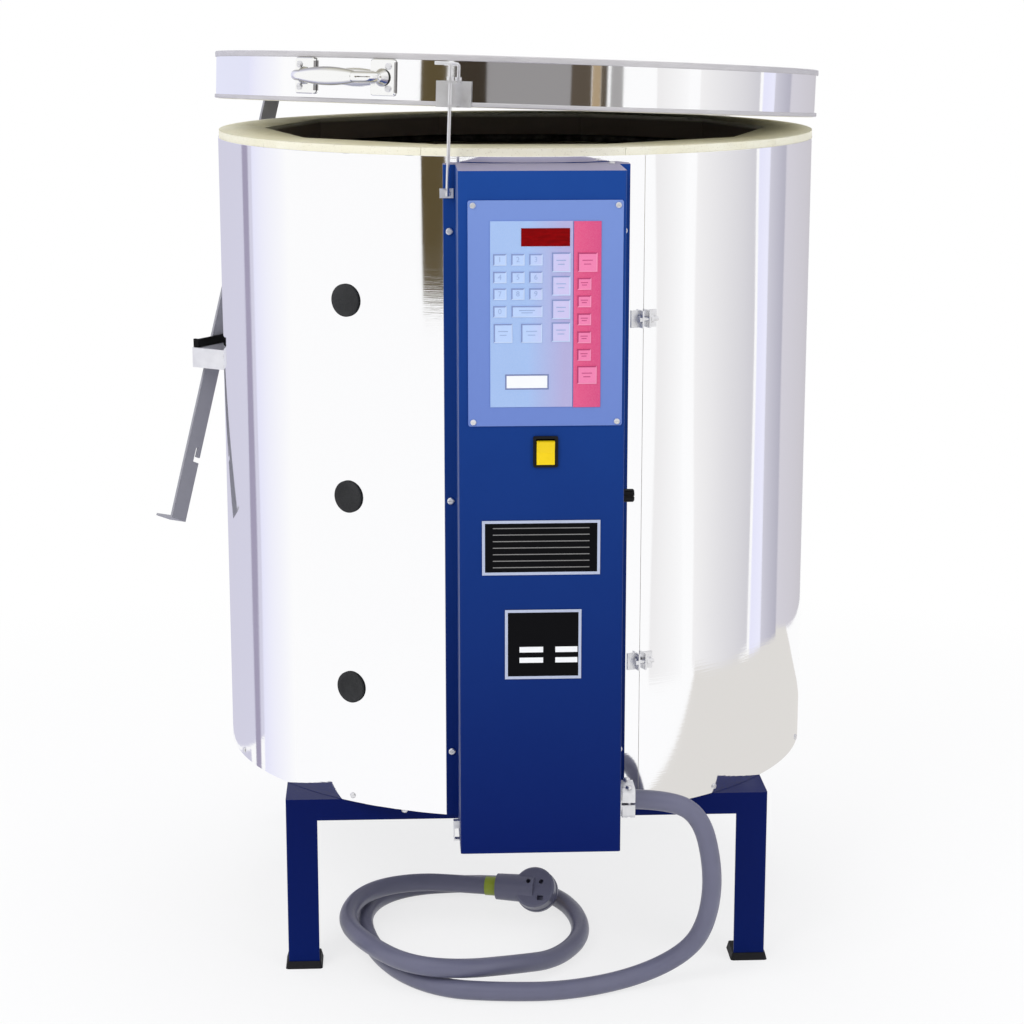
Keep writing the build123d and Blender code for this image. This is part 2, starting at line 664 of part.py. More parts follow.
# Inside the control box
board_base = faceplate_base + 27.0
board_top = faceplate_top - 29.0
board = block(-50, 64, -box_front + 12.0, -box_front + 13.6, board_base, board_top)
posts = []
for post_x in (-44.0, 58.0):
    for post_z in (board_base + 8.0, board_top - 8.0):
        posts.append(rod("y", (post_x, -box_front + 0.1, post_z), 12.0, 3.0))
posts_shape = posts[0]
for item in posts[1:]:
    posts_shape = posts_shape + item
display_block = block(-18, 34, -box_front + 2.0, -box_front + 12.0, board_top - 24, board_top + 2)
chips = block(-30, 10, -box_front + 13.6, -box_front + 17.0, board_base + 52, board_base + 92)
chips = chips + block(20, 52, -box_front + 13.6, -box_front + 26.0, board_base + 104, board_base + 122)
keep("controller_board", board + posts_shape + display_block + chips)

relay_floor = -box_plate_front - 0.1


def relay(x, z):
    """Power relay: block with screw terminals, mounted on the back plate."""
    case = block(x - 18, x + 18, relay_floor - 42, relay_floor, z - 26, z + 26)
    ears = block(x - 18, x + 18, relay_floor - 2.5, relay_floor, z - 33, z + 33)
    tabs = block(x - 12, x - 6, relay_floor - 50, relay_floor - 42, z - 1, z + 1)
    tabs = tabs + block(x + 6, x + 12, relay_floor - 50, relay_floor - 42, z - 1, z + 1)
    return case + ears + tabs


keep("relays", group([relay(-62.0, 480.0), relay(-62.0, 390.0), relay(66.0, 480.0)]))

core = block(44, 88, relay_floor - 44, relay_floor, 360, 416)
winding = block(50, 82, relay_floor - 52, relay_floor - 0.0, 368, 408)
feet = block(41, 94.5, relay_floor - 2.5, relay_floor, 366, 410)
keep("transformer", core + winding + feet)

terminal = block(-10, 84, relay_floor - 24, relay_floor, 300, 330)
for index in range(4):
    gap_x = 12.0 + index * 18.0
    terminal = terminal - block(gap_x, gap_x + 4, relay_floor - 30, relay_floor - 14, 299, 331)
keep("terminal_block", terminal)

sensor_block = block(-22, 22, relay_floor - 56.0, relay_floor - 36.5, sensor_level - 12, sensor_level + 12)
keep("ceramic_blocks", group(insulators + [sensor_block]))

# Lid keeper: a fork on the left flange that the lid rod passes
keeper_level = box_top - 27.3
keeper_gauge = 1.6
keeper_leg = 11.0
keeper_rod_gap = 5.5
lid_rod_x = box_left - 6.5
lid_rod_y = -(jacket_radius + 13.0)
keeper_left = lid_rod_x - 11.0
keeper_right = lid_rod_x + 4.5
keeper_front = lid_rod_y - 7.0
keeper = block(keeper_left, keeper_right, flange_y0 - keeper_gauge, flange_y0, keeper_level - keeper_leg, keeper_level)
keeper = keeper + block(keeper_left, keeper_right, keeper_front, flange_y0, keeper_level - keeper_gauge, keeper_level)
keeper = keeper - block(lid_rod_x - keeper_rod_gap, keeper_right + 1, keeper_front - 1, lid_rod_y + 4.0,
                        keeper_level - keeper_gauge - 1, keeper_level + 1)
keep("rod_keeper", keeper)
keeper_screw_x = lid_rod_x - 1.0
keeper_screw_z = keeper_level - keeper_gauge - 4.6
keeper_screw = placed(screw(2.6, 2.0, 1.5, 4.0), keeper_screw_x, flange_y0 - keeper_gauge, keeper_screw_z)
for name in ("rod_keeper", "box_cover", "box_back_plate"):
    nodes[name] = nodes[name] - rod("y", (keeper_screw_x, lid_rod_y, keeper_screw_z), 15, 1.6)
keep("box_screws", group(flange_screws + plate_screws + [keeper_screw]))

# Lid, built closed with the handle at the front and the hinge at the back, then opened and turned
lid_base = brick_top + lid_seat_gap
band_base = lid_base + lid_band_rise
band_top = lid_base + lid_thickness + static_gap + jacket_gauge
lid_nodes = {}
lid_slab = rod("z", (0, 0, lid_base), lid_thickness, lid_radius - jacket_gauge - static_gap)
lid_slab = chamfer(lid_slab.edges().group_by(Axis.Z)[0], 2.0)
lid_nodes["lid_slab"] = lid_slab
band_inner = lid_radius - jacket_gauge
band_fold = lid_radius + lid_fold_gauge
hem_top = band_base + lid_hem_height
lip_base = band_top - lid_lip_height
band_section = Polyline((band_inner, band_base), (band_fold, band_base), (band_fold, hem_top), (lid_radius, hem_top),
                        (lid_radius, lip_base), (band_fold, lip_base), (band_fold, band_top),
                        (lid_radius - lid_flange_width, band_top),
                        (lid_radius - lid_flange_width, band_top - jacket_gauge),
                        (band_inner, band_top - jacket_gauge), close=True)
band = revolve(Plane.XZ * make_face(band_section), Axis.Z)
band_seam_turn = 214.5
band_seam = block(-1.0, 1.0, -lid_radius - 8, -lid_radius + lid_flange_width + 8, 0, 2000)
band = band - at_azimuth(band_seam, band_seam_turn)
lid_nodes["lid_band"] = band

# Draw bolt for the lid band beside the hinge
band_lug_level = (band_base + band_top) / 2


def band_ear(side):
    """Ear beside the band seam, on the back of the lid."""
    foot_half = math.degrees(lug_width / 2 / lid_radius)
    turn = side * math.degrees((lug_width / 2 + 3.0) / lid_radius)
    foot = sector(lid_radius + 1.8, lid_radius + 0.1, foot_half, -13, 13, turn)
    near_x = side * 3.4
    far_x = side * 5.4
    ear = block(min(near_x, far_x), max(near_x, far_x), -lid_radius - lug_reach, -lid_radius - 0.4, -13, 13)
    ear = ear - rod("x", (-20, -lid_radius - 5.4, 0), 40, clamp_bolt_radius + 0.05)
    return foot + ear


def band_bolt():
    """Draw bolt and nut in one piece of running length."""
    shank = rod("x", (-8.4, -lid_radius - 5.4, 0), 22.0, clamp_bolt_radius)
    hexagon = Pos(-8.8, -lid_radius - 5.4, 0) * Rot(0, 90, 0) * extrude(RegularPolygon(4.4, 6), 3.2)
    nut = Pos(5.6, -lid_radius - 5.4, 0) * Rot(0, 90, 0) * extrude(RegularPolygon(4.4, 6), 4.0)
    return shank + hexagon + nut


band_clamp = [at_azimuth(placed(band_ear(side), 0, 0, band_lug_level), band_seam_turn) for side in (-1, 1)]
band_clamp.append(at_azimuth(placed(band_bolt(), 0, 0, band_lug_level), band_seam_turn))
lid_nodes["band_clamp"] = group(band_clamp)

# Cast handle: two foot plates, curved necks and a swelling grip
handle_half_span = 53.8
handle_foot_width = 31.0
handle_foot_height = 41.0
handle_foot_gauge = 3.5
handle_reach = 30.0
handle_level = lid_base + 30.0
grip_end_radius = 6.0
grip_mid_radius = 10.5
handle_root_radius = 10.0
grip_share = 0.62
foot_plane = lid_radius + 0.4
handle_foot_turn = math.degrees(math.asin(handle_half_span / foot_plane))


def handle_foot(side):
    """Foot plate with a rounded outline, lying on the band."""
    outline = RectangleRounded(handle_foot_width, handle_foot_height, 4.0)
    plate = Pos(0, -foot_plane, handle_level) * Rot(90, 0, 0) * extrude(outline, handle_foot_gauge)
    plate = chamfer(plate.edges().group_by(Axis.Y)[0], 1.0)
    return at_azimuth(plate, side * handle_foot_turn)


def handle_neck(side):
    """Neck that tapers out of the foot plate and bends a quarter turn into the grip."""
    foot_x = side * handle_half_span
    grip_x = foot_x * grip_share
    bend_y = -(foot_plane + handle_reach) + abs(foot_x - grip_x)
    start_y = -foot_plane - 1.0
    taper = Cone(handle_root_radius, grip_end_radius, start_y - bend_y, align=(Align.CENTER, Align.CENTER, Align.MIN))
    taper = Pos(foot_x, start_y, handle_level) * Rot(90, 0, 0) * taper
    section = Plane(origin=(foot_x, bend_y, handle_level), z_dir=(0, -1, 0)) * Circle(grip_end_radius)
    elbow = revolve(section, Axis((grip_x, bend_y, handle_level), (0, 0, 1)), -90 * side)
    return taper + elbow


def handle_grip():
    """Turned grip with one smooth swell, thickest in the middle."""
    half = handle_half_span * grip_share + 2.0
    end_radius = grip_end_radius + 0.6
    swell = ThreePointArc((-half, end_radius), (0, grip_mid_radius), (half, end_radius))
    base = Polyline((half, end_radius), (half, 0), (-half, 0), (-half, end_radius))
    grip = revolve(make_face([swell, base]), Axis.X)
    return placed(grip, 0, -(foot_plane + handle_reach), handle_level)


handle = handle_foot(-1) + handle_foot(1) + handle_neck(-1) + handle_neck(1) + handle_grip()
handle_screws = []
for side in (-1, 1):
    for offset in (-12.5, 12.5):
        y_face = -(foot_plane + handle_foot_gauge)
        spot = placed(screw(3.8, 2.2, 1.9, 12.0), side * 7.5, y_face, handle_level + offset)
        handle_screws.append(at_azimuth(spot, side * handle_foot_turn))
        drill = at_azimuth(rod("y", (side * 7.5, -lid_radius - 30, handle_level + offset), 60, 2.0),
                           side * handle_foot_turn)
        handle = handle - drill
        lid_nodes["lid_band"] = lid_nodes["lid_band"] - drill
        lid_nodes["lid_slab"] = lid_nodes["lid_slab"] - drill
lid_nodes["lid_handle"] = handle

# Lid side of the hinge: curved plate on the band with two arms round the pin
hinge_plate_gauge = 3.0
hinge_half_angle = 17.0
lid_leaf = sector(lid_radius + 0.1 + hinge_plate_gauge, lid_radius + 0.1, hinge_half_angle,
                  band_base + lid_hem_height + 1.0, band_top - lid_lip_height - 1.0, 180.0)
leaf_cut_radius = lid_radius + 1.0
arm_in = hinge_arm_x - hinge_arm_gauge - 1.5


def arm_profile(points, x0, x1):
    """Plate between x0 and x1 with an outline given in Y and Z."""
    face = make_face(Polyline(*[(y, z) for y, z in points], close=True))
    plate = extrude(face, x1 - x0)
    return Pos(x0, 0, 0) * Rot(0, 0, 90) * Rot(90, 0, 0) * plate


def lid_arm(x0, x1):
    """Arm from the band plate back to the pin."""
    surface = math.sqrt(lid_radius ** 2 - x0 ** 2)
    low = band_base + lid_hem_height + 4.0
    high = band_top - lid_lip_height - 2.0
    outline = [(surface - 4, low), (surface - 4, high), (surface + 10, high),
               (hinge_y + 9.0, hinge_z + 8.0), (hinge_y + 9.0, hinge_z - 9.0), (hinge_y - 9.0, hinge_z - 9.0)]
    plate = arm_profile(outline, x0, x1)
    return plate - rod("z", (0, 0, 0), 2000, leaf_cut_radius)


for side in (-1, 1):
    low = min(side * arm_in, side * (arm_in - hinge_arm_gauge))
    lid_leaf = lid_leaf + lid_arm(low, low + hinge_arm_gauge)
lid_leaf = lid_leaf - rod("x", (-200, hinge_y, hinge_z), 400, hinge_pin_radius + running_gap)
hinge_lid_screws = []
for turn in (-9.0, 0.0, 9.0):
    spot = placed(screw(3.8, 2.2, 1.9, 12.0), 0, -(lid_radius + 0.1 + hinge_plate_gauge), band_base + 30.0)
    hinge_lid_screws.append(at_azimuth(spot, 180.0 + turn))
    drill = at_azimuth(rod("y", (0, -lid_radius - 30, band_base + 30.0), 60, 2.0), 180.0 + turn)
    lid_leaf = lid_leaf - drill
    lid_nodes["lid_band"] = lid_nodes["lid_band"] - drill
    lid_nodes["lid_slab"] = lid_nodes["lid_slab"] - drill
lid_nodes["hinge_lid_leaf"] = lid_leaf
lid_nodes["lid_screws"] = group(handle_screws + hinge_lid_screws)

# Prop pivot: plate on the band, shouldered stud and washer, left of the handle
prop_plane = lid_radius + 9.0
prop_gauge = 3.0
prop_width = 30.0
prop_pivot_y = 10.6
prop_pivot_z = lid_base + 30.0
prop_length = 611.0
prop_tilt = 22.5
prop_foot = 25.0
stud_radius = 4.0
mount_plate = block(-(lid_radius + 3.2), -(lid_radius - 6.0), prop_pivot_y - 22, prop_pivot_y + 22,
                    prop_pivot_z - 18, prop_pivot_z + 18)
mount_plate = mount_plate - rod("z", (0, 0, 0), 2000, lid_radius + 0.1)
stud = rod("x", (-(prop_plane + prop_gauge / 2 + 5.0), prop_pivot_y, prop_pivot_z), 24.0, stud_radius)
stud_head = rod("x", (-(prop_plane + prop_gauge / 2 + 5.5), prop_pivot_y, prop_pivot_z), 4.0, 8.0)
spacer = rod("x", (-(prop_plane - prop_gauge / 2 - 0.6), prop_pivot_y, prop_pivot_z), 4.0, 8.0)
stud = stud + stud_head + spacer
mount_plate = mount_plate - rod("x", (-500, prop_pivot_y, prop_pivot_z), 200, stud_radius + 0.05)
stud_bore = rod("x", (-500, prop_pivot_y, prop_pivot_z), 200, stud_radius + 0.05)
lid_nodes["lid_band"] = lid_nodes["lid_band"] - stud_bore
lid_nodes["lid_slab"] = lid_nodes["lid_slab"] - stud_bore
lid_nodes["prop_pivot"] = group([mount_plate, stud])

# Rod bracket on the band: plate and two tongues with eyes
rod_radius = 2.0
rod_azimuth_world = math.degrees(math.atan2(lid_rod_x, -lid_rod_y))
rod_reach = math.hypot(lid_rod_x, lid_rod_y)
rod_turn = rod_azimuth_world - lid_azimuth
bracket_half = 20.0
bracket_back = lid_radius + lid_fold_gauge + 0.05
bracket_top = band_base + 28.0
rod_plate = sector(bracket_back + 2.0, bracket_back, math.degrees(bracket_half / lid_radius),
                   band_base - 1.0, bracket_top, 0.0)
tongue_low = block(-9, 9, -rod_reach - 7, -bracket_back - 1.0, band_base - 1.0, band_base + 1.5)
tongue_high = block(-9, 9, -rod_reach - 7, -bracket_back - 1.0, bracket_top - 2.5, bracket_top)
rod_bracket = rod_plate + tongue_low + tongue_high
rod_bracket = rod_bracket - rod("z", (0, -rod_reach, 0), 2000, rod_radius + running_gap)
lid_nodes["rod_bracket"] = at_azimuth(rod_bracket, rod_turn)

# Interlock rod: straight shank, collar that rests on the upper tongue, and a turned top
rod_top = band_base + 47.0
rod_bottom = band_base - 99.0
shank = rod("z", (0, -rod_reach, rod_bottom), rod_top - rod_bottom - 4.0, rod_radius)
elbow_path = Spline((0, -rod_reach, rod_top - 4.0), (-4.0, -rod_reach, rod_top), tangents=[(0, 0, 1), (-1, 0, 0)])
elbow = sweep(Plane(origin=(0, -rod_reach, rod_top - 4.0), z_dir=(0, 0, 1)) * Circle(rod_radius), path=elbow_path)
finger = rod("x", (-18.0, -rod_reach, rod_top), 14.0, rod_radius)
collar = rod("z", (0, -rod_reach, bracket_top + 0.3), 4.0, 4.0)
lock_rod = at_azimuth(shank + elbow + finger + collar, rod_turn)


def lid_to_world(shape, opening):
    """Open a shape built closed about the hinge pin, then turn it to the lid's azimuth."""
    lifted = Pos(0, hinge_y, hinge_z) * Rot(-opening, 0, 0) * Pos(0, -hinge_y, -hinge_z) * shape
    return at_azimuth(lifted, lid_azimuth)


for name, shape in lid_nodes.items():
    keep(name, lid_to_world(shape, lid_ajar_angle))
keep("lock_rod", lid_to_world(lock_rod, lid_ajar_angle))

# Hinge on the body: curved plate on the jacket, two arms, pin and screws
body_leaf = sector(jacket_radius + 0.1 + hinge_plate_gauge, jacket_radius + 0.1, hinge_half_angle,
                   jacket_top - 118.0, jacket_top - 8.0, 180.0)


def body_arm(x0, x1):
    """Arm from the jacket plate up to the pin."""
    surface = math.sqrt(jacket_radius ** 2 - x0 ** 2)
    outline = [(surface - 4, jacket_top - 112), (surface - 4, jacket_top - 12), (hinge_y - 10.0, hinge_z + 7.0),
               (hinge_y - 6.0, hinge_z + 10.0), (hinge_y + 6.0, hinge_z + 10.0), (hinge_y + 10.0, hinge_z + 6.0),
               (hinge_y + 10.0, hinge_z - 24.0)]
    plate = arm_profile(outline, x0, x1)
    return plate - rod("z", (0, 0, 0), 2000, jacket_radius + 1.0)


for side in (-1, 1):
    low = min(side * hinge_arm_x, side * (hinge_arm_x - hinge_arm_gauge))
    body_leaf = body_leaf + body_arm(low, low + hinge_arm_gauge)
body_leaf = body_leaf - rod("x", (-200, hinge_y, hinge_z), 400, hinge_pin_radius + 0.02)
pin = rod("x", (-hinge_arm_x - 4.0, hinge_y, hinge_z), 2 * hinge_arm_x + 8.0, hinge_pin_radius)
pin = pin + rod("x", (-hinge_arm_x - 7.0, hinge_y, hinge_z), 3.0, 8.0)
pin = pin + rod("x", (hinge_arm_x + 4.0, hinge_y, hinge_z), 3.0, 8.0)
hinge_body_screws = []
for turn in (-11.0, -4.0, 4.0, 11.0):
    for level in (jacket_top - 100.0, jacket_top - 26.0):
        head_y = -(jacket_radius + 0.1 + hinge_plate_gauge)
        spot = placed(screw(3.8, 2.2, 1.9, 16.0), 0, head_y, level)
        hinge_body_screws.append(at_azimuth(spot, 180.0 + turn))
        drill = at_azimuth(rod("y", (0, -jacket_radius - 30, level), 50, 2.0), 180.0 + turn)
        body_leaf = body_leaf - drill
        world_drill = at_azimuth(drill, lid_azimuth)
        for target in ("jacket", "insulation_blanket", "brick_course_rim", "brick_course_upper"):
            box = nodes[target].bounding_box()
            if box.max.Z > level and box.min.Z < level:
                cut = nodes[target] - world_drill
                nodes[target] = group([cut]) if target.startswith("brick") else cut
keep("hinge_body_leaf", at_azimuth(body_leaf, lid_azimuth))
keep("hinge_pin", at_azimuth(pin, lid_azimuth))
hinge_world_screws = [at_azimuth(item, lid_azimuth) for item in hinge_body_screws]
keep("body_screws", group(hinge_world_screws + frame_bolts))

# Prop bar: flat bar with a catch notch and an outward foot, hanging from the stud
bar = block(-prop_gauge / 2, prop_gauge / 2, -prop_width / 2, prop_width / 2, -prop_length, 16.0)
bar = fillet(bar.edges().filter_by(Axis.X).group_by(Axis.Z)[-1], 12.0)
bar = bar - rod("x", (-10, 0, 0), 20, stud_radius + running_gap)
notch_depth = 12.0
notch_height = 7.0
notch_hook = 12.0
notch_level = 84.0 - prop_length
notch_floor = prop_width / 2 - notch_depth
bar = bar - block(-5, 5, notch_floor, prop_width / 2 + 1, notch_level - notch_height, notch_level)
bar = bar - block(-5, 5, notch_floor, notch_floor + 5.0, notch_level - 1.0, notch_level + notch_hook)
foot_tab = block(-prop_foot, prop_gauge / 2, -prop_width / 2, prop_width / 2, -prop_length - prop_gauge, -prop_length)
bar = bar + foot_tab
closed_pivot_y = prop_pivot_y
closed_pivot_z = prop_pivot_z
open_rad = math.radians(lid_ajar_angle)
arm_y = closed_pivot_y - hinge_y
arm_z = closed_pivot_z - hinge_z
rest_pivot_y = hinge_y + arm_y * math.cos(open_rad) + arm_z * math.sin(open_rad)
rest_pivot_z = hinge_z - arm_y * math.sin(open_rad) + arm_z * math.cos(open_rad)
bar_local = Pos(-prop_plane, rest_pivot_y, rest_pivot_z) * Rot(-prop_tilt, 0, 0) * bar
keep("prop_bar", at_azimuth(bar_local, lid_azimuth))
print("prop pivot at rest", round(rest_pivot_y, 3), round(rest_pivot_z, 3), "hinge", hinge_y, round(hinge_z, 3))

# Guide for the prop bar: open saddle on the jacket with a nylon liner and two rivets
guide_level = lid_base - 303.0
guide_shift = -2.0
guide_side_room = 28.0
guide_y = rest_pivot_y - (rest_pivot_z - guide_level) * math.tan(math.radians(prop_tilt)) - guide_shift
guide_half_gap = prop_width / 2 / math.cos(math.radians(prop_tilt)) + guide_side_room
guide_gauge = 2.5
guide_height = 26.0
guide_reach = prop_plane + 2.0
guide_liner_rise = 11.0
liner_wall = 4.0


cheeks = []
for side in (-1, 1):
    y_edge = guide_y + side * guide_half_gap
    y_out = y_edge + side * guide_gauge
    cheek = block(-guide_reach, -300, min(y_edge, y_out), max(y_edge, y_out),
                  guide_level - guide_height / 2, guide_level + guide_height / 2)
    cheeks.append(cheek)
floor_wall = block(-(prop_plane - prop_gauge / 2 - 4.5), -(prop_plane - prop_gauge / 2 - 4.5 - guide_gauge),
                   guide_y - guide_half_gap, guide_y + guide_half_gap,
                   guide_level - guide_height / 2, guide_level + guide_height / 2)
guide = cheeks[0] + cheeks[1] + floor_wall
guide = guide - rod("z", (0, 0, 0), 2000, jacket_radius + 0.1)
front_edge = guide_y - guide_half_gap - guide_gauge
front_turn = math.degrees(math.asin(-front_edge / jacket_radius))
tab_turn = -90.0 + front_turn + math.degrees(9.0 / jacket_radius)
rear_edge = guide_y + guide_half_gap + guide_gauge
rear_turn = math.degrees(math.asin(-rear_edge / jacket_radius))
rear_tab_turn = -90.0 + rear_turn - math.degrees(9.0 / jacket_radius)
tab_half = math.degrees(11.0 / jacket_radius)
for turn in (tab_turn, rear_tab_turn):
    tab = sector(jacket_radius + 0.1 + guide_gauge, jacket_radius + 0.1, tab_half,
                 guide_level - guide_height / 2, guide_level + guide_height / 2, turn)
    guide = guide + tab
guide_rivets = []
for turn in (tab_turn, rear_tab_turn):
    for offset in (-7.0, 7.0):
        head = rod("y", (0, -(jacket_radius + 0.1 + guide_gauge + 1.8), guide_level + offset), 1.8, 3.2)
        guide_rivets.append(at_azimuth(head, turn))
liner_low = guide_level - guide_height / 2 + 3.0
liner_high = guide_level + guide_height / 2 + guide_liner_rise
liner_face = -(prop_plane - prop_gauge / 2 - 2.0)
liner_front = guide_y - guide_half_gap + 0.1
liner_rear = guide_y + guide_half_gap - 0.1
liner = block(-guide_reach, liner_face + 2.4, liner_front, liner_rear, liner_low, liner_high)
liner = liner - block(-guide_reach - 1, liner_face, liner_front + liner_wall, liner_rear - liner_wall,
                      liner_low - 1, liner_high + 1)
liner = liner - block(-guide_reach - 1, liner_face, liner_rear - liner_wall - 0.1, liner_rear + 1,
                      guide_level + guide_height / 2, liner_high + 1)
keep("prop_guide", at_azimuth(guide, lid_azimuth))
keep("guide_liner", at_azimuth(liner, lid_azimuth))
keep("rivets", group(rivets + [at_azimuth(item, lid_azimuth) for item in guide_rivets]))

# Cord: from the clamp it hangs to the floor, makes one and a half turns and ends in the plug
cord_radius = cord_diameter / 2
floor_z = cord_radius + 0.5
top_z = floor_z + cord_diameter + 1.5
route = [
    (box_right - 6.0, clamp_y, clamp_z),
    (box_right + 53.5, clamp_y, clamp_z),
    (box_right + 99.5, clamp_y + 3.0, clamp_z - 21.0),
    (box_right + 117.5, clamp_y + 16.0, clamp_z - 96.0),
    (box_right + 115.5, clamp_y + 36.0, clamp_z - 163.0),
    (box_right + 96.5, clamp_y + 56.0, floor_z + 33.0),
    (132.0, -373.0, floor_z),
    (44.0, -413.0, floor_z),
    (-39.0, -412.0, floor_z),
    (-114.0, -397.0, floor_z),
    (-175.0, -324.0, floor_z),
    (-208.0, -193.0, floor_z),
    (-193.0, -108.0, floor_z),
    (-143.0, -62.0, floor_z),
    (-70.0, -54.0, floor_z),
    (-3.0, -62.0, floor_z),
    (61.0, -117.0, floor_z),
    (78.0, -231.0, floor_z),
    (37.0, -318.0, floor_z + 1.0),
    (-20.0, -368.0, floor_z + 16.0),
    (-86.0, -400.0, top_z),
    (-146.0, -387.0, top_z + 1.5),
    (-190.0, -330.0, top_z + 0.5),
    (-226.0, -239.0, top_z - 4.5),
    (-216.0, -172.0, top_z),
    (-184.0, -126.0, top_z),
    (-132.0, -108.0, top_z),
    (-80.0, -119.0, top_z + 0.5),
    (-27.0, -135.0, top_z + 1.5),
]


def cord_path(points):
    """Runs joined by tangent arcs, each arc as large as its shorter run allows."""
    pieces = []
    previous = Vector(*points[0])
    radii = []
    for index in range(1, len(points) - 1):
        a = Vector(*points[index - 1])
        b = Vector(*points[index])
        c = Vector(*points[index + 1])
        first = (b - a).normalized()
        second = (c - b).normalized()
        turn = math.acos(max(-1.0, min(1.0, first.dot(second))))
        shorter = min((b - a).length, (c - b).length)
        radius = 0.45 * shorter / math.tan(turn / 2)
        setback = 0.45 * shorter
        start = b - first * setback
        finish = b + second * setback
        bisector = (second - first).normalized()
        center = b + bisector * (radius / math.cos(turn / 2))
        middle = center - bisector * radius
        if (start - previous).length > 0.05:
            pieces.append(Line(previous, start))
        pieces.append(ThreePointArc(start, middle, finish))
        radii.append(radius)
        previous = finish
    pieces.append(Line(previous, Vector(*points[-1])))
    return pieces, radii


cord_edges, cord_radii = cord_path(route)
cord_wire = Wire(cord_edges)
cord_start = Vector(*route[0])
cord_heading = (Vector(*route[1]) - cord_start).normalized()
cord_section = Plane(origin=cord_start, z_dir=cord_heading) * Circle(cord_radius)
cord = sweep(cord_section, path=cord_wire)
cord_expected = cord_wire.length * math.pi * cord_radius ** 2
print("cord bend radii", [round(r, 1) for r in cord_radii], "smallest", round(min(cord_radii), 1))
print("cord length", round(cord_wire.length, 1), "volume / expected", round(cord.volume / cord_expected, 5))
keep("power_cord", cord)

# Plug: right angle form with a neck round the cord and a round head whose face is turned down and back
plug_head_x = 48.0
plug_head_width = 53.0
plug_head_depth = 26.0
plug_head_tilt = -35.0
plug_neck_start = 16.8
plug_neck_end = 18.4
plug_recess_radius = 3.0
blade_length = 19.0
blade_offset = 9.0
plug_entry = Vector(*route[-1])
plug_heading = (Vector(*route[-1]) - Vector(*route[-2])).normalized()
plug_turn = math.degrees(math.atan2(plug_heading.Y, plug_heading.X))
plug_rise = math.degrees(math.asin(plug_heading.Z))


def plug_place(shape):
    """Take a shape built along +X at the origin to the end of the cord."""
    return Pos(plug_entry) * Rot(0, 0, plug_turn) * Rot(0, -plug_rise, 0) * shape


def head_place(shape):
    """Tilt a piece of the plug's head, built with its face toward +Y, about the cord's line."""
    return Pos(plug_head_x, 0, 0) * Rot(plug_head_tilt, 0, 0) * shape


half_depth = plug_head_depth / 2
neck_length = plug_head_x + 3.0
neck = Cone(plug_neck_start, plug_neck_end, neck_length, align=(Align.CENTER, Align.CENTER, Align.MIN))
neck = Pos(-3.0, 0, 0) * Rot(0, 90, 0) * neck
head_back = rod("y", (0, -half_depth, 0), plug_head_depth - 6.0, plug_head_width / 2)
head_back = chamfer(head_back.edges().group_by(Axis.Y)[0], 2.5)
head_face = rod("y", (0, half_depth - 6.0, 0), 6.0, plug_head_width / 2 + 0.8)
plug_shape = neck + head_place(head_back + head_face)
for recess_x, recess_z in ((-7.0, 6.0), (9.0, 7.5)):
    plug_shape = plug_shape - head_place(rod("y", (recess_x, -30.0, recess_z), 26.0, plug_recess_radius))
window_cut = block(6.0, 14.0, -30.0, -5.0, -17.0, -11.0)
plug_shape = plug_shape - head_place(window_cut)
plug_shape = plug_shape - head_place(block(-plug_head_width, plug_head_width, half_depth, 60.0, -60.0, 60.0))
plug_shape = plug_shape - rod("x", (-10.0, 0, 0), 17.0, cord_radius + 0.05)
keep("plug_body", plug_place(plug_shape))
blades = []
for side in (-1, 1):
    x0, x1 = span(side * blade_offset, side * (blade_offset + 2.0))
    blades.append(head_place(block(x0, x1, half_depth, half_depth + blade_length, -2.0, 10.0)))
blades.append(head_place(rod("y", (0, half_depth, -11.0), blade_length + 2.0, 3.0)))
keep("plug_blades", plug_place(group(blades)))
tag = rod("x", (-18.0, 0, 0), 14.0, cord_radius + 0.8) - rod("x", (-19.0, 0, 0), 16.0, cord_radius + 0.05)
keep("cord_band", plug_place(tag))

# Shift everything so that the origin is under the middle of the kiln without its cord
cord_names = ("power_cord", "plug_body", "plug_blades", "cord_band")
boxes = [shape.bounding_box() for name, shape in nodes.items() if name not in cord_names]
axis_x = -round((min(box.min.X for box in boxes) + max(box.max.X for box in boxes)) / 2)
axis_y = -round((min(box.min.Y for box in boxes) + max(box.max.Y for box in boxes)) / 2)
print("kiln axis at", axis_x, axis_y)
for name in nodes:
    nodes[name] = Pos(axis_x, axis_y, 0) * nodes[name]

for name, shape in nodes.items():
    export_step(shape, f"parts/{name}.step")
    print(name, "valid", shape.is_valid, "solids", len(shape.solids()), "volume", round(shape.volume, 1))
print("nodes", len(nodes))
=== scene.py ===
"""Ceramic kiln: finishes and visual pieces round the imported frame, in metres."""

import json
import logging
import math
from dataclasses import dataclass
from enum import Enum
from typing import Dict, List, Optional, Sequence, Tuple

import bmesh
import bpy
from mathutils import Matrix, Vector

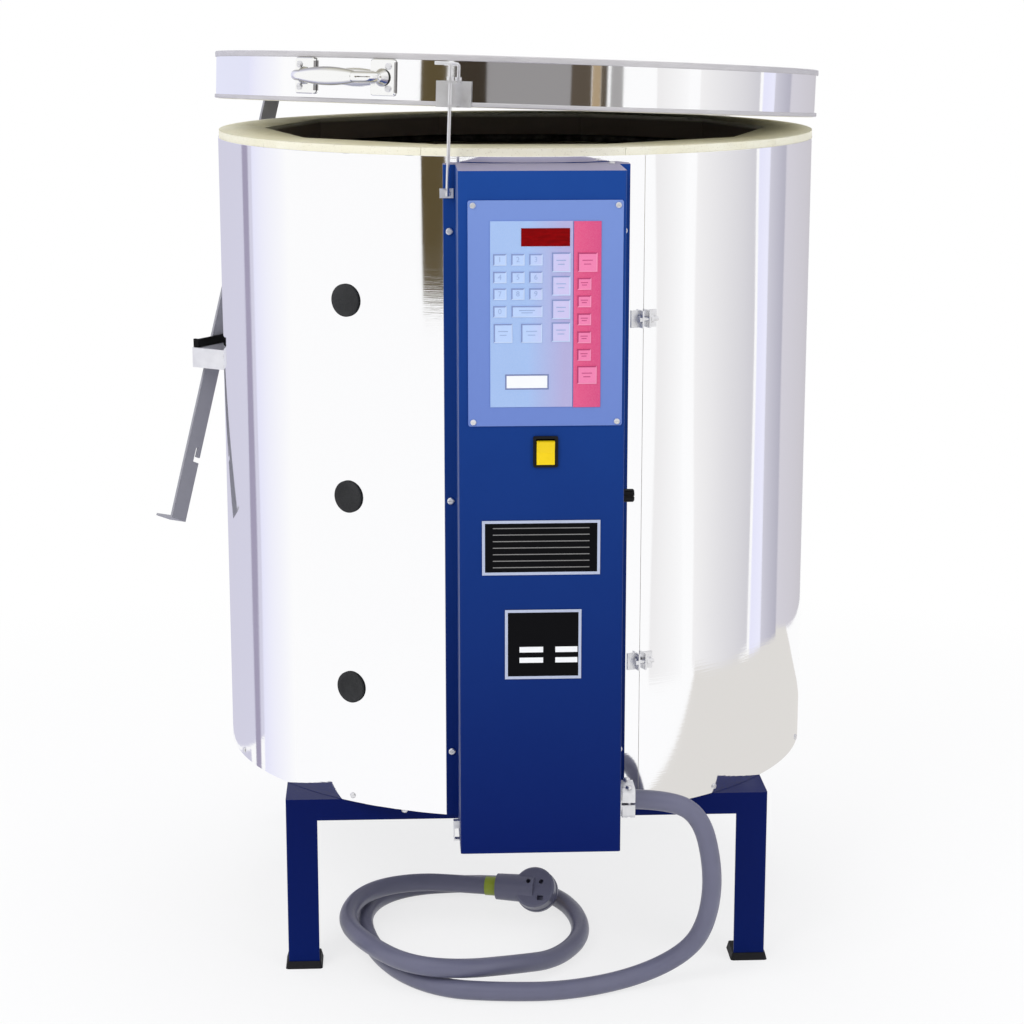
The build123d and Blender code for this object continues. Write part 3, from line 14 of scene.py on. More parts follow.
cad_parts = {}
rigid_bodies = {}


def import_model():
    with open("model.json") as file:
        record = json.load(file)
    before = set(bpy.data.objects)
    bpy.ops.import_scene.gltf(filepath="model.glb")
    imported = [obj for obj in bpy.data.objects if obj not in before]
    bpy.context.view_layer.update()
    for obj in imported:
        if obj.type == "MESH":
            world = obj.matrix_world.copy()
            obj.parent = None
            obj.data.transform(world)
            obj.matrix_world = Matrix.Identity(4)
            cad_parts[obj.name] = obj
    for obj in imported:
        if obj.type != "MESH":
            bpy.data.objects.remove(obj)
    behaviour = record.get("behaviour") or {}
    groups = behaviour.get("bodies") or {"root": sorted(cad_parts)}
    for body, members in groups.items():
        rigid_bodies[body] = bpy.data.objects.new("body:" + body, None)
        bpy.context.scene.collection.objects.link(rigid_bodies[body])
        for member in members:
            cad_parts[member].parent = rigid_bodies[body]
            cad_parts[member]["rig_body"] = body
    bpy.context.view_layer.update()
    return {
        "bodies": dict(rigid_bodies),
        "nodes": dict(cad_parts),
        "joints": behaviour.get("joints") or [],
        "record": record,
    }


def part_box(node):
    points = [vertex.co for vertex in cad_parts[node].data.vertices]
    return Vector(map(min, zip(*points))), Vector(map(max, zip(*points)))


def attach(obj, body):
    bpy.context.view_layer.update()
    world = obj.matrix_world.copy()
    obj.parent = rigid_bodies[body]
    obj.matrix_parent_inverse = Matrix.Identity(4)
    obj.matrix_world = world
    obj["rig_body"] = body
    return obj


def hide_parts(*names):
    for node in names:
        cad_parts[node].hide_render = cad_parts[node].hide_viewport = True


log = logging.getLogger("kiln")

Colour = Tuple[float, float, float]
Point = Tuple[float, float, float]
Span = Tuple[float, float]

MM = 0.001
WELD = 1e-7
SOLID_WELD = 1e-6
WHITE = (1.0, 1.0, 1.0)
NOISE_RANGE = (0.3, 0.7)
CREASE = 35.0


class Body(Enum):
    """Moving bodies of the kiln that pieces ride on."""

    KILN = "kiln_body"
    LID = "lid"


class Side(Enum):
    """Sides of an upright face that a printed edge can follow."""

    TOP = "top"
    BOTTOM = "bottom"
    LEFT = "left"
    RIGHT = "right"


@dataclass(frozen=True)
class KilnSizes:
    """Driving sizes that the visual pieces share with the frame, in metres.

    Attributes:
        lid_azimuth: Bearing of the lid handle about the kiln axis, in degrees.
        lid_opening: Rest opening of the lid, in degrees.
        jacket_gauge: Thickness of the jacket sheet.
        lid_overhang: How far the lid band stands outside the jacket.
        seam_azimuth: Bearing of the jacket's open seam, in degrees.
        seam_width: Width of that seam.
        band_seam_turn: Bearing of the lid band's seam from the handle, in degrees.
        band_seam_width: Width of that seam.
        band_drop: How far the lid band's lower edge lies under the hinge pin.
        band_height: Height of the lid band.
        hem_height: Height of the fold along the band's lower edge.
        lip_height: Height of the fold along its upper edge.
        fold_gauge: How far both folds stand out.
        flange_width: Width of the band's flange over the lid's top.
    """

    lid_azimuth: float = -34.5
    lid_opening: float = 3.45
    jacket_gauge: float = 1.0 * MM
    lid_overhang: float = 2.0 * MM
    seam_azimuth: float = 20.2
    seam_width: float = 0.6 * MM
    band_seam_turn: float = 214.5
    band_seam_width: float = 2.0 * MM
    band_drop: float = 2.4 * MM
    band_height: float = 57.1 * MM
    hem_height: float = 5.0 * MM
    lip_height: float = 7.0 * MM
    fold_gauge: float = 1.6 * MM
    flange_width: float = 14.0 * MM


class KilnPlace:
    """Places read from the frame: the kiln axis, the jacket and the lid's own space."""

    def __init__(self, sizes: KilnSizes, frame: dict) -> None:
        """Read the jacket's box and the lid hinge.

        Args:
            sizes: The shared driving sizes.
        """
        low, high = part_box("jacket")
        self.sizes = sizes
        self.axis = Vector(((low.x + high.x) / 2, (low.y + high.y) / 2, 0.0))
        self.radius = (high.x - low.x) / 2
        self.jacket_base = low.z
        self.jacket_top = high.z
        hinge = next(joint for joint in frame["joints"] if joint["name"] == "lid_hinge")
        self.hinge = Vector(hinge["pos_m"])
        self.hinge_reach = (Vector((self.hinge.x, self.hinge.y, 0.0)) - self.axis).length

    def upright(self) -> Matrix:
        """Space centred on the kiln axis, with the front at -Y."""
        return Matrix.Translation(self.axis)

    def lid_space(self) -> Matrix:
        """Space of the closed lid, handle at -Y, taken to the lid's rest opening.

        Returns:
            The space as a matrix.
        """
        turn = Matrix.Rotation(math.radians(self.sizes.lid_azimuth), 4, "Z")
        pivot = Matrix.Translation((0.0, self.hinge_reach, self.hinge.z))
        opening = Matrix.Rotation(math.radians(-self.sizes.lid_opening), 4, "X")
        return self.upright() @ turn @ pivot @ opening @ pivot.inverted()


class Graph:
    """Small helper that wires the nodes of one material or world."""

    def __init__(self, owner: bpy.types.ID, output: str = "ShaderNodeOutputMaterial") -> None:
        """Start with nothing but the output.

        Args:
            owner: The new material or world.
            output: Type of its output node.
        """
        self.owner = owner
        self.owner.use_nodes = True
        self.tree = self.owner.node_tree
        self.tree.nodes.clear()
        self.output = self.tree.nodes.new(output)

    def node(self, kind: str, **settings: object) -> bpy.types.Node:
        """Add a node and set its plain properties.

        Args:
            kind: The node's type.
            settings: Properties by name.

        Returns:
            The node.
        """
        made = self.tree.nodes.new(kind)
        for key, value in settings.items():
            setattr(made, key, value)
        return made

    def link(self, source: bpy.types.NodeSocket, target: bpy.types.NodeSocket) -> None:
        """Join two sockets."""
        self.tree.links.new(source, target)

    def place(self, scale: Sequence[float] = (1.0, 1.0, 1.0),
              move: Sequence[float] = (0.0, 0.0, 0.0)) -> bpy.types.NodeSocket:
        """Object coordinates through a Mapping node.

        Args:
            scale: Stretch along each axis.
            move: Offset of the pattern.

        Returns:
            The mapped vector socket.
        """
        coordinates = self.node("ShaderNodeTexCoord")
        mapping = self.node("ShaderNodeMapping")
        mapping.inputs["Scale"].default_value = scale
        mapping.inputs["Location"].default_value = move
        self.link(coordinates.outputs["Object"], mapping.inputs["Vector"])
        return mapping.outputs["Vector"]

    def noise(self, vector: bpy.types.NodeSocket, scale: float, detail: float = 3.0,
              roughness: float = 0.5) -> bpy.types.NodeSocket:
        """Fractal noise between 0 and 1.

        Args:
            vector: Where the noise is read.
            scale: How fine it is.
            detail: How many finer layers it has.
            roughness: How strong those layers are.

        Returns:
            The noise's socket.
        """
        made = self.node("ShaderNodeTexNoise")
        made.inputs["Scale"].default_value = scale
        made.inputs["Detail"].default_value = detail
        made.inputs["Roughness"].default_value = roughness
        self.link(vector, made.inputs["Vector"])
        return made.outputs["Fac"]

    def cells(self, vector: bpy.types.NodeSocket, scale: float) -> bpy.types.NodeSocket:
        """Distance to the nearest cell point, for pits.

        Args:
            vector: Where the cells are read.
            scale: How fine they are.

        Returns:
            The distance's socket.
        """
        made = self.node("ShaderNodeTexVoronoi")
        made.inputs["Scale"].default_value = scale
        self.link(vector, made.inputs["Vector"])
        return made.outputs["Distance"]

    def ramp(self, value: bpy.types.NodeSocket, low: float, high: float, first: Colour,
             last: Colour) -> bpy.types.NodeSocket:
        """Blend between two colours over a range of a value.

        Args:
            value: What drives the blend.
            low: Value where the first colour ends.
            high: Value where the last colour starts.
            first: Colour below the range.
            last: Colour above the range.

        Returns:
            The colour socket.
        """
        made = self.node("ShaderNodeValToRGB")
        stops = made.color_ramp.elements
        stops[0].position = low
        stops[0].color = (*first, 1.0)
        stops[1].position = high
        stops[1].color = (*last, 1.0)
        self.link(value, made.inputs["Fac"])
        return made.outputs["Color"]

    def span(self, value: bpy.types.NodeSocket, low: float, high: float, start: float,
             finish: float) -> bpy.types.NodeSocket:
        """Map a value from one range to another, clamped.

        Args:
            value: What is mapped.
            low: Value that gives the start.
            high: Value that gives the finish.
            start: Result at and below the low value.
            finish: Result at and above the high value.

        Returns:
            The result's socket.
        """
        made = self.node("ShaderNodeMapRange")
        for name, number in (("From Min", low), ("From Max", high), ("To Min", start), ("To Max", finish)):
            made.inputs[name].default_value = number
        self.link(value, made.inputs["Value"])
        return made.outputs["Result"]

    def upward(self, most: float, low: float, high: float, sign: float = 1.0) -> bpy.types.NodeSocket:
        """How far a face of the piece points up, or down with a negative sign.

        Args:
            most: Result where the face points fully that way.
            low: Slope where the result starts.
            high: Slope where the result is full.
            sign: 1 for up and -1 for down.

        Returns:
            The result's socket.
        """
        coordinates = self.node("ShaderNodeTexCoord")
        parts = self.node("ShaderNodeSeparateXYZ")
        self.link(coordinates.outputs["Normal"], parts.inputs["Vector"])
        return self.span(self.math("MULTIPLY", parts.outputs["Z"], sign), low, high, 0.0, most)

    def math(self, operation: str, first: bpy.types.NodeSocket, second: object) -> bpy.types.NodeSocket:
        """One Math node on a socket and a number or a second socket.

        Args:
            operation: What it works out.
            first: The first socket.
            second: The second socket, or a number.

        Returns:
            The result's socket.
        """
        made = self.node("ShaderNodeMath", operation=operation)
        self.link(first, made.inputs[0])
        if isinstance(second, bpy.types.NodeSocket):
            self.link(second, made.inputs[1])
        else:
            made.inputs[1].default_value = second
        return made.outputs["Value"]

    def blend(self, factor: bpy.types.NodeSocket, first: object, second: object) -> bpy.types.NodeSocket:
        """Mix two colours by a factor.

        Args:
            factor: 0 for the first colour and 1 for the second.
            first: Socket or plain colour.
            second: Socket or plain colour.

        Returns:
            The colour socket.
        """
        made = self.node("ShaderNodeMix", data_type="RGBA")
        self.link(factor, made.inputs[0])
        for slot, value in ((6, first), (7, second)):
            if isinstance(value, bpy.types.NodeSocket):
                self.link(value, made.inputs[slot])
            else:
                made.inputs[slot].default_value = (*value, 1.0)
        return made.outputs[2]

    def bump(self, height: bpy.types.NodeSocket, distance: float,
             under: Optional[bpy.types.NodeSocket] = None) -> bpy.types.NodeSocket:
        """Bump from a height, on top of another normal if one is given.

        Args:
            height: The height's socket.
            distance: How high the bumps stand.
            under: The normal that it lies on.

        Returns:
            The normal's socket.
        """
        made = self.node("ShaderNodeBump")
        made.inputs["Distance"].default_value = distance
        made.inputs["Strength"].default_value = 1.0
        self.link(height, made.inputs["Height"])
        if under is not None:
            self.link(under, made.inputs["Normal"])
        return made.outputs["Normal"]

    def surface(self, colour: object, roughness: object, metallic: float = 0.0,
                normal: Optional[bpy.types.NodeSocket] = None, **constants: float) -> bpy.types.Node:
        """Principled shader joined to the output.

        Args:
            colour: Socket or plain colour.
            roughness: Socket or number.
            metallic: How metallic the surface is.
            normal: Bumped normal, if any.
            constants: Plain numbers for other sockets, their names with underscores for spaces.

        Returns:
            The shader node.
        """
        shader = self.node("ShaderNodeBsdfPrincipled")
        shader.inputs["Metallic"].default_value = metallic
        if isinstance(colour, bpy.types.NodeSocket):
            self.link(colour, shader.inputs["Base Color"])
        else:
            shader.inputs["Base Color"].default_value = (*colour, 1.0)
        if isinstance(roughness, bpy.types.NodeSocket):
            self.link(roughness, shader.inputs["Roughness"])
        else:
            shader.inputs["Roughness"].default_value = roughness
        if normal is not None:
            self.link(normal, shader.inputs["Normal"])
        for key, value in constants.items():
            shader.inputs[key.replace("_", " ")].default_value = value
        self.link(shader.outputs["BSDF"], self.output.inputs["Surface"])
        return shader

    def plain(self, kind: str, colour: Colour) -> bpy.types.Node:
        """Plain shader of one colour.

        Args:
            kind: The shader's type.
            colour: Its colour.

        Returns:
            The shader node.
        """
        made = self.node(kind)
        made.inputs["Color"].default_value = (*colour, 1.0)
        return made

    def mix(self, factor: bpy.types.NodeSocket, first: bpy.types.Node, second: bpy.types.Node) -> None:
        """Mix two shaders and join the mix to the output.

        Args:
            factor: 0 for the first shader and 1 for the second.
            first: The first shader.
            second: The second shader.
        """
        made = self.node("ShaderNodeMixShader")
        self.link(factor, made.inputs[0])
        self.link(first.outputs[0], made.inputs[1])
        self.link(second.outputs[0], made.inputs[2])
        self.link(made.outputs["Shader"], self.output.inputs["Surface"])


def shaded(values: Sequence[float], share: float) -> Tuple[float, ...]:
    """A colour or a range with every part at the same share of its strength."""
    return tuple(part * share for part in values)


@dataclass(frozen=True)
class Finish:
    """One material of the kiln. Each kind of finish wires its own nodes."""

    name: str

    def wire(self, graph: Graph) -> None:
        """Add the nodes of the finish.

        Args:
            graph: The material's graph.
        """
        raise NotImplementedError

    def make(self) -> bpy.types.Material:
        """Build the material.

        Returns:
            The material.
        """
        graph = Graph(bpy.data.materials.new(self.name))
        self.wire(graph)
        return graph.owner


@dataclass(frozen=True)
class MirrorSteel(Finish):
    """Polished stainless sheet, rolled round the kiln, with a faint upright smear in its polish."""

    name: str = "mirror_steel"
    colour: Colour = (0.97, 0.97, 0.98)
    roughness: float = 0.04
    smear: float = 0.3
    wave_scale: float = 2.0
    wave_stretch: Point = (2.2, 2.2, 0.35)
    wave_height: float = 0.0049
    line_scale: float = 24.0
    line_stretch: Point = (1.0, 1.0, 26.0)
    line_height: float = 0.0000175
    smudge_scale: float = 7.0
    smudge_range: Span = (0.35, 0.75)
    smudge_rise: float = 1.9

    def wire(self, graph: Graph) -> None:
        """Add the nodes of the finish.

        Args:
            graph: The material's graph.
        """
        waves = graph.noise(graph.place(self.wave_stretch), self.wave_scale, detail=2.0)
        lines = graph.noise(graph.place(self.line_stretch), self.line_scale)
        smudge = graph.noise(graph.place(), self.smudge_scale, detail=4.0, roughness=0.6)
        rough = graph.span(smudge, *self.smudge_range, self.roughness, self.roughness * self.smudge_rise)
        waved = graph.bump(waves, self.wave_height)
        normal = graph.bump(lines, self.line_height, under=waved)
        shader = graph.surface(self.colour, rough, 1.0, normal, Anisotropic=self.smear)
        tangent = graph.node("ShaderNodeTangent", direction_type="RADIAL", axis="Z")
        graph.link(tangent.outputs["Tangent"], shader.inputs["Tangent"])


@dataclass(frozen=True)
class PlatedMetal(Finish):
    """Zinc plate, brass, iron or wire with soft wear marks."""

    colour: Colour
    roughness: float
    mottle: float = 0.25
    wear_scale: float = 60.0
    wear_rise: float = 1.5
    grain_scale: float = 900.0
    grain_stretch: Point = (1.0, 1.0, 6.0)
    grain: float = 0.00002

    def wire(self, graph: Graph) -> None:
        """Add the nodes of the finish.

        Args:
            graph: The material's graph.
        """
        wear = graph.noise(graph.place(), self.wear_scale, detail=4.0, roughness=0.6)
        grain = graph.noise(graph.place(self.grain_stretch), self.grain_scale, detail=2.0)
        colour = graph.ramp(wear, *NOISE_RANGE, shaded(self.colour, 1.0 - self.mottle), self.colour)
        rough = graph.span(wear, *NOISE_RANGE, self.roughness * self.wear_rise, self.roughness)
        graph.surface(colour, rough, 1.0, graph.bump(grain, self.grain))


@dataclass(frozen=True)
class CastChrome(Finish):
    """Chrome over a casting: bright, with a painted olive reflection where it faces up and a painted slate
    reflection where it faces down.
    """

    name: str = "cast_chrome"
    colour: Colour = (0.93, 0.93, 0.92)
    # Painted reflection: olive for faces that point up and slate for faces that point down.
    upper: Colour = (0.36, 0.34, 0.27)
    lower: Colour = (0.26, 0.27, 0.36)
    upper_reflection_slope: Span = (0.55, 0.92)
    lower_reflection_slope: Span = (0.50, 0.92)
    roughness: float = 0.08
    roughness_rise: float = 1.6
    skin_scale: float = 45.0
    skin_height: float = 0.0001

    def wire(self, graph: Graph) -> None:
        """Add the nodes of the finish.

        Args:
            graph: The material's graph.
        """
        skin = graph.noise(graph.place(), self.skin_scale, roughness=0.6)
        # Painted reflection, blended in by how far each face points up or down.
        over = graph.blend(graph.upward(1.0, *self.upper_reflection_slope), self.colour, self.upper)
        colour = graph.blend(graph.upward(1.0, *self.lower_reflection_slope, sign=-1.0), over, self.lower)
        rough = graph.span(skin, *NOISE_RANGE, self.roughness, self.roughness * self.roughness_rise)
        graph.surface(colour, rough, 1.0, graph.bump(skin, self.skin_height))


@dataclass(frozen=True)
class SatinEdge(Finish):
    """Folded edge of the lid band, dulled by handling."""

    name: str = "satin_edge"
    colour: Colour = (0.66, 0.645, 0.66)
    shade: float = 0.88
    roughness: float = 0.55
    metallic: float = 0.55
    rub_scale: float = 30.0
    rub_stretch: Point = (1.0, 1.0, 9.0)
    rub_height: float = 0.00005

    def wire(self, graph: Graph) -> None:
        """Add the nodes of the finish.

        Args:
            graph: The material's graph.
        """
        rub = graph.noise(graph.place(self.rub_stretch), self.rub_scale, detail=4.0, roughness=0.6)
        colour = graph.ramp(rub, *NOISE_RANGE, shaded(self.colour, self.shade), self.colour)
        graph.surface(colour, self.roughness, self.metallic, graph.bump(rub, self.rub_height))


@dataclass(frozen=True)
class FireBrick(Finish):
    """Soft insulating firebrick: cream and full of fine pores, with painted shade on the chamber's inner
    faces and in the pores.

    Attributes:
        name: The material's name.
        light: Lightest tone of the brick.
        dark: Darkest tone of the brick.
        inside: Painted shade on the chamber's inner faces, where the nearly closed lid keeps out the light.
        axis: X and Y of the kiln axis.
        chamber_radius: Radii between which the painted shade ends.
        rim_level: Heights between which the painted shade ends.
        stain_scale: How fine the stains are.
        stain_range: Noise between which the tone goes from dark to light.
        grain_scale: How fine the grain is.
        grain_share: How high the grain stands beside the pits.
        pit_scale: How fine the pits are.
        pit_reach: Distances from a pit's middle between which it ends.
        pit_shade: How dark a pit is painted, as painted shade in the pore.
        pore: How deep the pores are.
        roughness: Roughness of the brick.
        gloss: Strength of its highlight.
    """

    name: str = "fire_brick"
    light: Colour = (0.95, 0.93, 0.79)
    dark: Colour = (0.87, 0.83, 0.64)
    # Painted shade for the chamber's inner faces.
    inside: Colour = (0.30, 0.24, 0.19)
    axis: Tuple[float, float] = (0.046, 0.048)
    chamber_radius: Span = (0.321, 0.326)
    rim_level: Span = (1.001, 1.004)
    stain_scale: float = 9.0
    stain_range: Span = (0.32, 0.68)
    grain_scale: float = 520.0
    grain_share: float = 0.5
    pit_scale: float = 420.0
    pit_reach: Span = (0.08, 0.26)
    pit_shade: float = 0.82
    pore: float = 0.0005
    roughness: float = 0.95
    gloss: float = 0.2

    def chamber_shade_mask(self, graph: Graph) -> bpy.types.NodeSocket:
        """0 on the chamber's inner faces, which take the painted shade, and 1 on the rest.

        Args:
            graph: The material's graph.

        Returns:
            The factor's socket.
        """
        centred = graph.place(move=(-self.axis[0], -self.axis[1], 0.0))
        flat = graph.node("ShaderNodeVectorMath", operation="MULTIPLY")
        flat.inputs[1].default_value = (1.0, 1.0, 0.0)
        graph.link(centred, flat.inputs[0])
        reach = graph.node("ShaderNodeVectorMath", operation="LENGTH")
        graph.link(flat.outputs["Vector"], reach.inputs[0])
        outside = graph.span(reach.outputs["Value"], *self.chamber_radius, 0.0, 1.0)
        level = graph.node("ShaderNodeSeparateXYZ")
        graph.link(centred, level.inputs["Vector"])
        above = graph.span(level.outputs["Z"], *self.rim_level, 0.0, 1.0)
        return graph.math("MAXIMUM", outside, above)

    def wire(self, graph: Graph) -> None:
        """Add the nodes of the finish.

        Args:
            graph: The material's graph.
        """
        space = graph.place()
        stain = graph.noise(space, self.stain_scale, detail=5.0, roughness=0.62)
        grain = graph.noise(space, self.grain_scale, roughness=0.7)
        pit = graph.span(graph.cells(space, self.pit_scale), *self.pit_reach, 0.0, 1.0)
        tone = graph.ramp(stain, *self.stain_range, self.dark, self.light)
        # Painted shade: each pore's middle is darker than the brick around it.
        pore_shaded = graph.blend(pit, shaded(self.dark, self.pit_shade), tone)
        # Painted shade: the chamber's inner faces take the dark inside tone.
        colour = graph.blend(self.chamber_shade_mask(graph), self.inside, pore_shaded)
        height = graph.math("ADD", graph.math("MULTIPLY", grain, self.grain_share), pit)
        normal = graph.bump(height, self.pore)
        graph.surface(colour, self.roughness, 0.0, normal, Specular_IOR_Level=self.gloss)


@dataclass(frozen=True)
class Fibre(Finish):
    """Pressed ceramic fibre or board."""

    colour: Colour
    shade: float = 0.8
    strand_scale: float = 300.0
    strand_stretch: Point = (1.0, 1.0, 7.0)
    strand_height: float = 0.0006
    roughness: float = 0.97

    def wire(self, graph: Graph) -> None:
        """Add the nodes of the finish.

        Args:
            graph: The material's graph.
        """
        strands = graph.noise(graph.place(self.strand_stretch), self.strand_scale, detail=4.0, roughness=0.7)
        colour = graph.ramp(strands, *NOISE_RANGE, shaded(self.colour, self.shade), self.colour)
        graph.surface(colour, self.roughness, 0.0, graph.bump(strands, self.strand_height))


@dataclass(frozen=True)
class SatinPaint(Finish):
    """Baked paint on sheet steel: fine orange peel and slow changes in gloss, with painted light and shade
    that change its tone with height and a painted reflection on the faces that point up.

    Attributes:
        colour: Tone at and above the head level.
        foot: Tone at and below the foot level, as painted light and shade: darker at the foot of the box,
            faceplate and prop, lighter at the foot of the stand.
        foot_level: Height where the tone starts to change.
        head_level: Height where it has changed.
        painted_top_sheen: How strong the painted reflection is on the faces that point up.
        top_sheen_tone: Colour of that painted reflection.
        top_sheen_slope: How far a face points up where the painted reflection starts and where it is full.
        roughness: Middle roughness.
        roughness_range: Lowest and highest roughness, as shares of the middle one.
        gloss: Strength of the clear highlight.
        cloud_scale: How fine the slow changes are.
        cloud_share: How much of the foot tone they bring.
        peel_scale: How fine the orange peel is.
        peel: How high it stands.
    """

    colour: Colour
    foot: Colour
    foot_level: float = 0.20
    head_level: float = 1.00
    painted_top_sheen: float = 0.0
    top_sheen_tone: Colour = (0.34, 0.31, 0.42)
    top_sheen_slope: Span = (0.75, 0.95)
    roughness: float = 0.36
    roughness_range: Span = (0.85, 1.2)
    gloss: float = 0.07
    cloud_scale: float = 5.0
    cloud_share: float = 0.12
    peel_scale: float = 420.0
    peel: float = 0.00003

    def wire(self, graph: Graph) -> None:
        """Add the nodes of the finish.

        Args:
            graph: The material's graph.
        """
        space = graph.place()
        peel = graph.noise(space, self.peel_scale, detail=2.0)
        cloud = graph.noise(space, self.cloud_scale, detail=4.0, roughness=0.6)
        parts = graph.node("ShaderNodeSeparateXYZ")
        graph.link(space, parts.inputs["Vector"])
        # Painted light and shade: the tone goes from the foot tone low down to the main colour high up.
        level = graph.span(parts.outputs["Z"], self.foot_level, self.head_level, 0.0, 1.0)
        tone = graph.blend(level, self.foot, self.colour)
        mottled = graph.blend(graph.span(cloud, *NOISE_RANGE, 0.0, self.cloud_share), tone, self.foot)
        # Painted reflection: faces that point up take a lavender grey.
        colour = graph.blend(graph.upward(self.painted_top_sheen, *self.top_sheen_slope), mottled, self.top_sheen_tone)
        rough = graph.span(cloud, *NOISE_RANGE, *shaded(self.roughness_range, self.roughness))
        graph.surface(colour, rough, 0.0, graph.bump(peel, self.peel), Specular_IOR_Level=self.gloss)


@dataclass(frozen=True)
class PrintedFilm(Finish):
    """Polyester keypad film: screen printed, faintly textured, with a tint across its width."""

    left: Colour
    right: Colour
    start: float = 0.0
    finish: float = 1.0
    roughness: float = 0.36
    gloss: float = 0.2
    dot_scale: float = 1500.0
    dot_range: Span = (0.35, 0.7)
    dot_share: float = 0.06
    dot_height: float = 0.00001

    def wire(self, graph: Graph) -> None:
        """Add the nodes of the finish.

        Args:
            graph: The material's graph.
        """
        space = graph.place()
        parts = graph.node("ShaderNodeSeparateXYZ")
        graph.link(space, parts.inputs["Vector"])
        across = graph.span(parts.outputs["X"], self.start, self.finish, 0.0, 1.0)
        tint = graph.blend(across, self.left, self.right)
        dots = graph.noise(space, self.dot_scale, detail=2.0)
        colour = graph.blend(graph.span(dots, *self.dot_range, 0.0, self.dot_share), tint, WHITE)
        normal = graph.bump(dots, self.dot_height)
        graph.surface(colour, self.roughness, 0.0, normal, Specular_IOR_Level=self.gloss)


@dataclass(frozen=True)
class Moulded(Finish):
    """Moulded plastic, rubber, ceramic or flat print with a fine spark texture."""

    colour: Colour
    roughness: float = 0.4
    roughness_range: Span = (0.85, 1.15)
    grain: float = 0.00005
    grain_scale: float = 900.0
    variation: float = 0.15
    gloss: float = 0.5
    cloud_scale: float = 25.0

    def wire(self, graph: Graph) -> None:
        """Add the nodes of the finish.

        Args:
            graph: The material's graph.
        """
        space = graph.place()
        spark = graph.noise(space, self.grain_scale, detail=2.0)
        cloud = graph.noise(space, self.cloud_scale)
        colour = graph.ramp(cloud, *NOISE_RANGE, shaded(self.colour, 1.0 - self.variation), self.colour)
        rough = graph.span(spark, *NOISE_RANGE, *shaded(self.roughness_range, self.roughness))
        graph.surface(colour, rough, 0.0, graph.bump(spark, self.grain), Specular_IOR_Level=self.gloss)


@dataclass(frozen=True)
class CordJacket(Finish):
    """Smooth vinyl jacket of the mains cord, with the faint lay of the cores under it."""

    name: str = "cord_jacket"
    colour: Colour = (0.150, 0.152, 0.228)
    shade: float = 0.93
    roughness: float = 0.34
    roughness_range: Span = (0.9, 1.3)
    lay_scale: float = 30.0
    lay_height: float = 0.0002
    scuff_scale: float = 260.0
    scuff_range: Span = (0.35, 0.7)
    scuff_height: float = 0.00004

    def wire(self, graph: Graph) -> None:
        """Add the nodes of the finish.

        Args:
            graph: The material's graph.
        """
        space = graph.place()
        lay = graph.noise(space, self.lay_scale, detail=4.0, roughness=0.6)
        scuff = graph.noise(space, self.scuff_scale, roughness=0.7)
        colour = graph.ramp(lay, *NOISE_RANGE, shaded(self.colour, self.shade), self.colour)
        rough = graph.span(scuff, *self.scuff_range, *shaded(self.roughness_range, self.roughness))
        normal = graph.bump(scuff, self.scuff_height, under=graph.bump(lay, self.lay_height))
        graph.surface(colour, rough, 0.0, normal)


@dataclass(frozen=True)
class DarkWindow(Finish):
    """Dark red display window: deep tint under a smooth face."""

    name: str = "dark_window"
    colour: Colour = (0.25, 0.001, 0.002)
    shade: float = 0.72
    roughness: float = 0.25
    gloss: float = 0.05
    streak_scale: float = 90.0
    streak_stretch: Point = (1.0, 1.0, 4.0)

    def wire(self, graph: Graph) -> None:
        """Add the nodes of the finish.

        Args:
            graph: The material's graph.
        """
        streak = graph.noise(graph.place(self.streak_stretch), self.streak_scale, detail=2.0)
        colour = graph.ramp(streak, *NOISE_RANGE, shaded(self.colour, self.shade), self.colour)
        graph.surface(colour, self.roughness, Specular_IOR_Level=self.gloss)


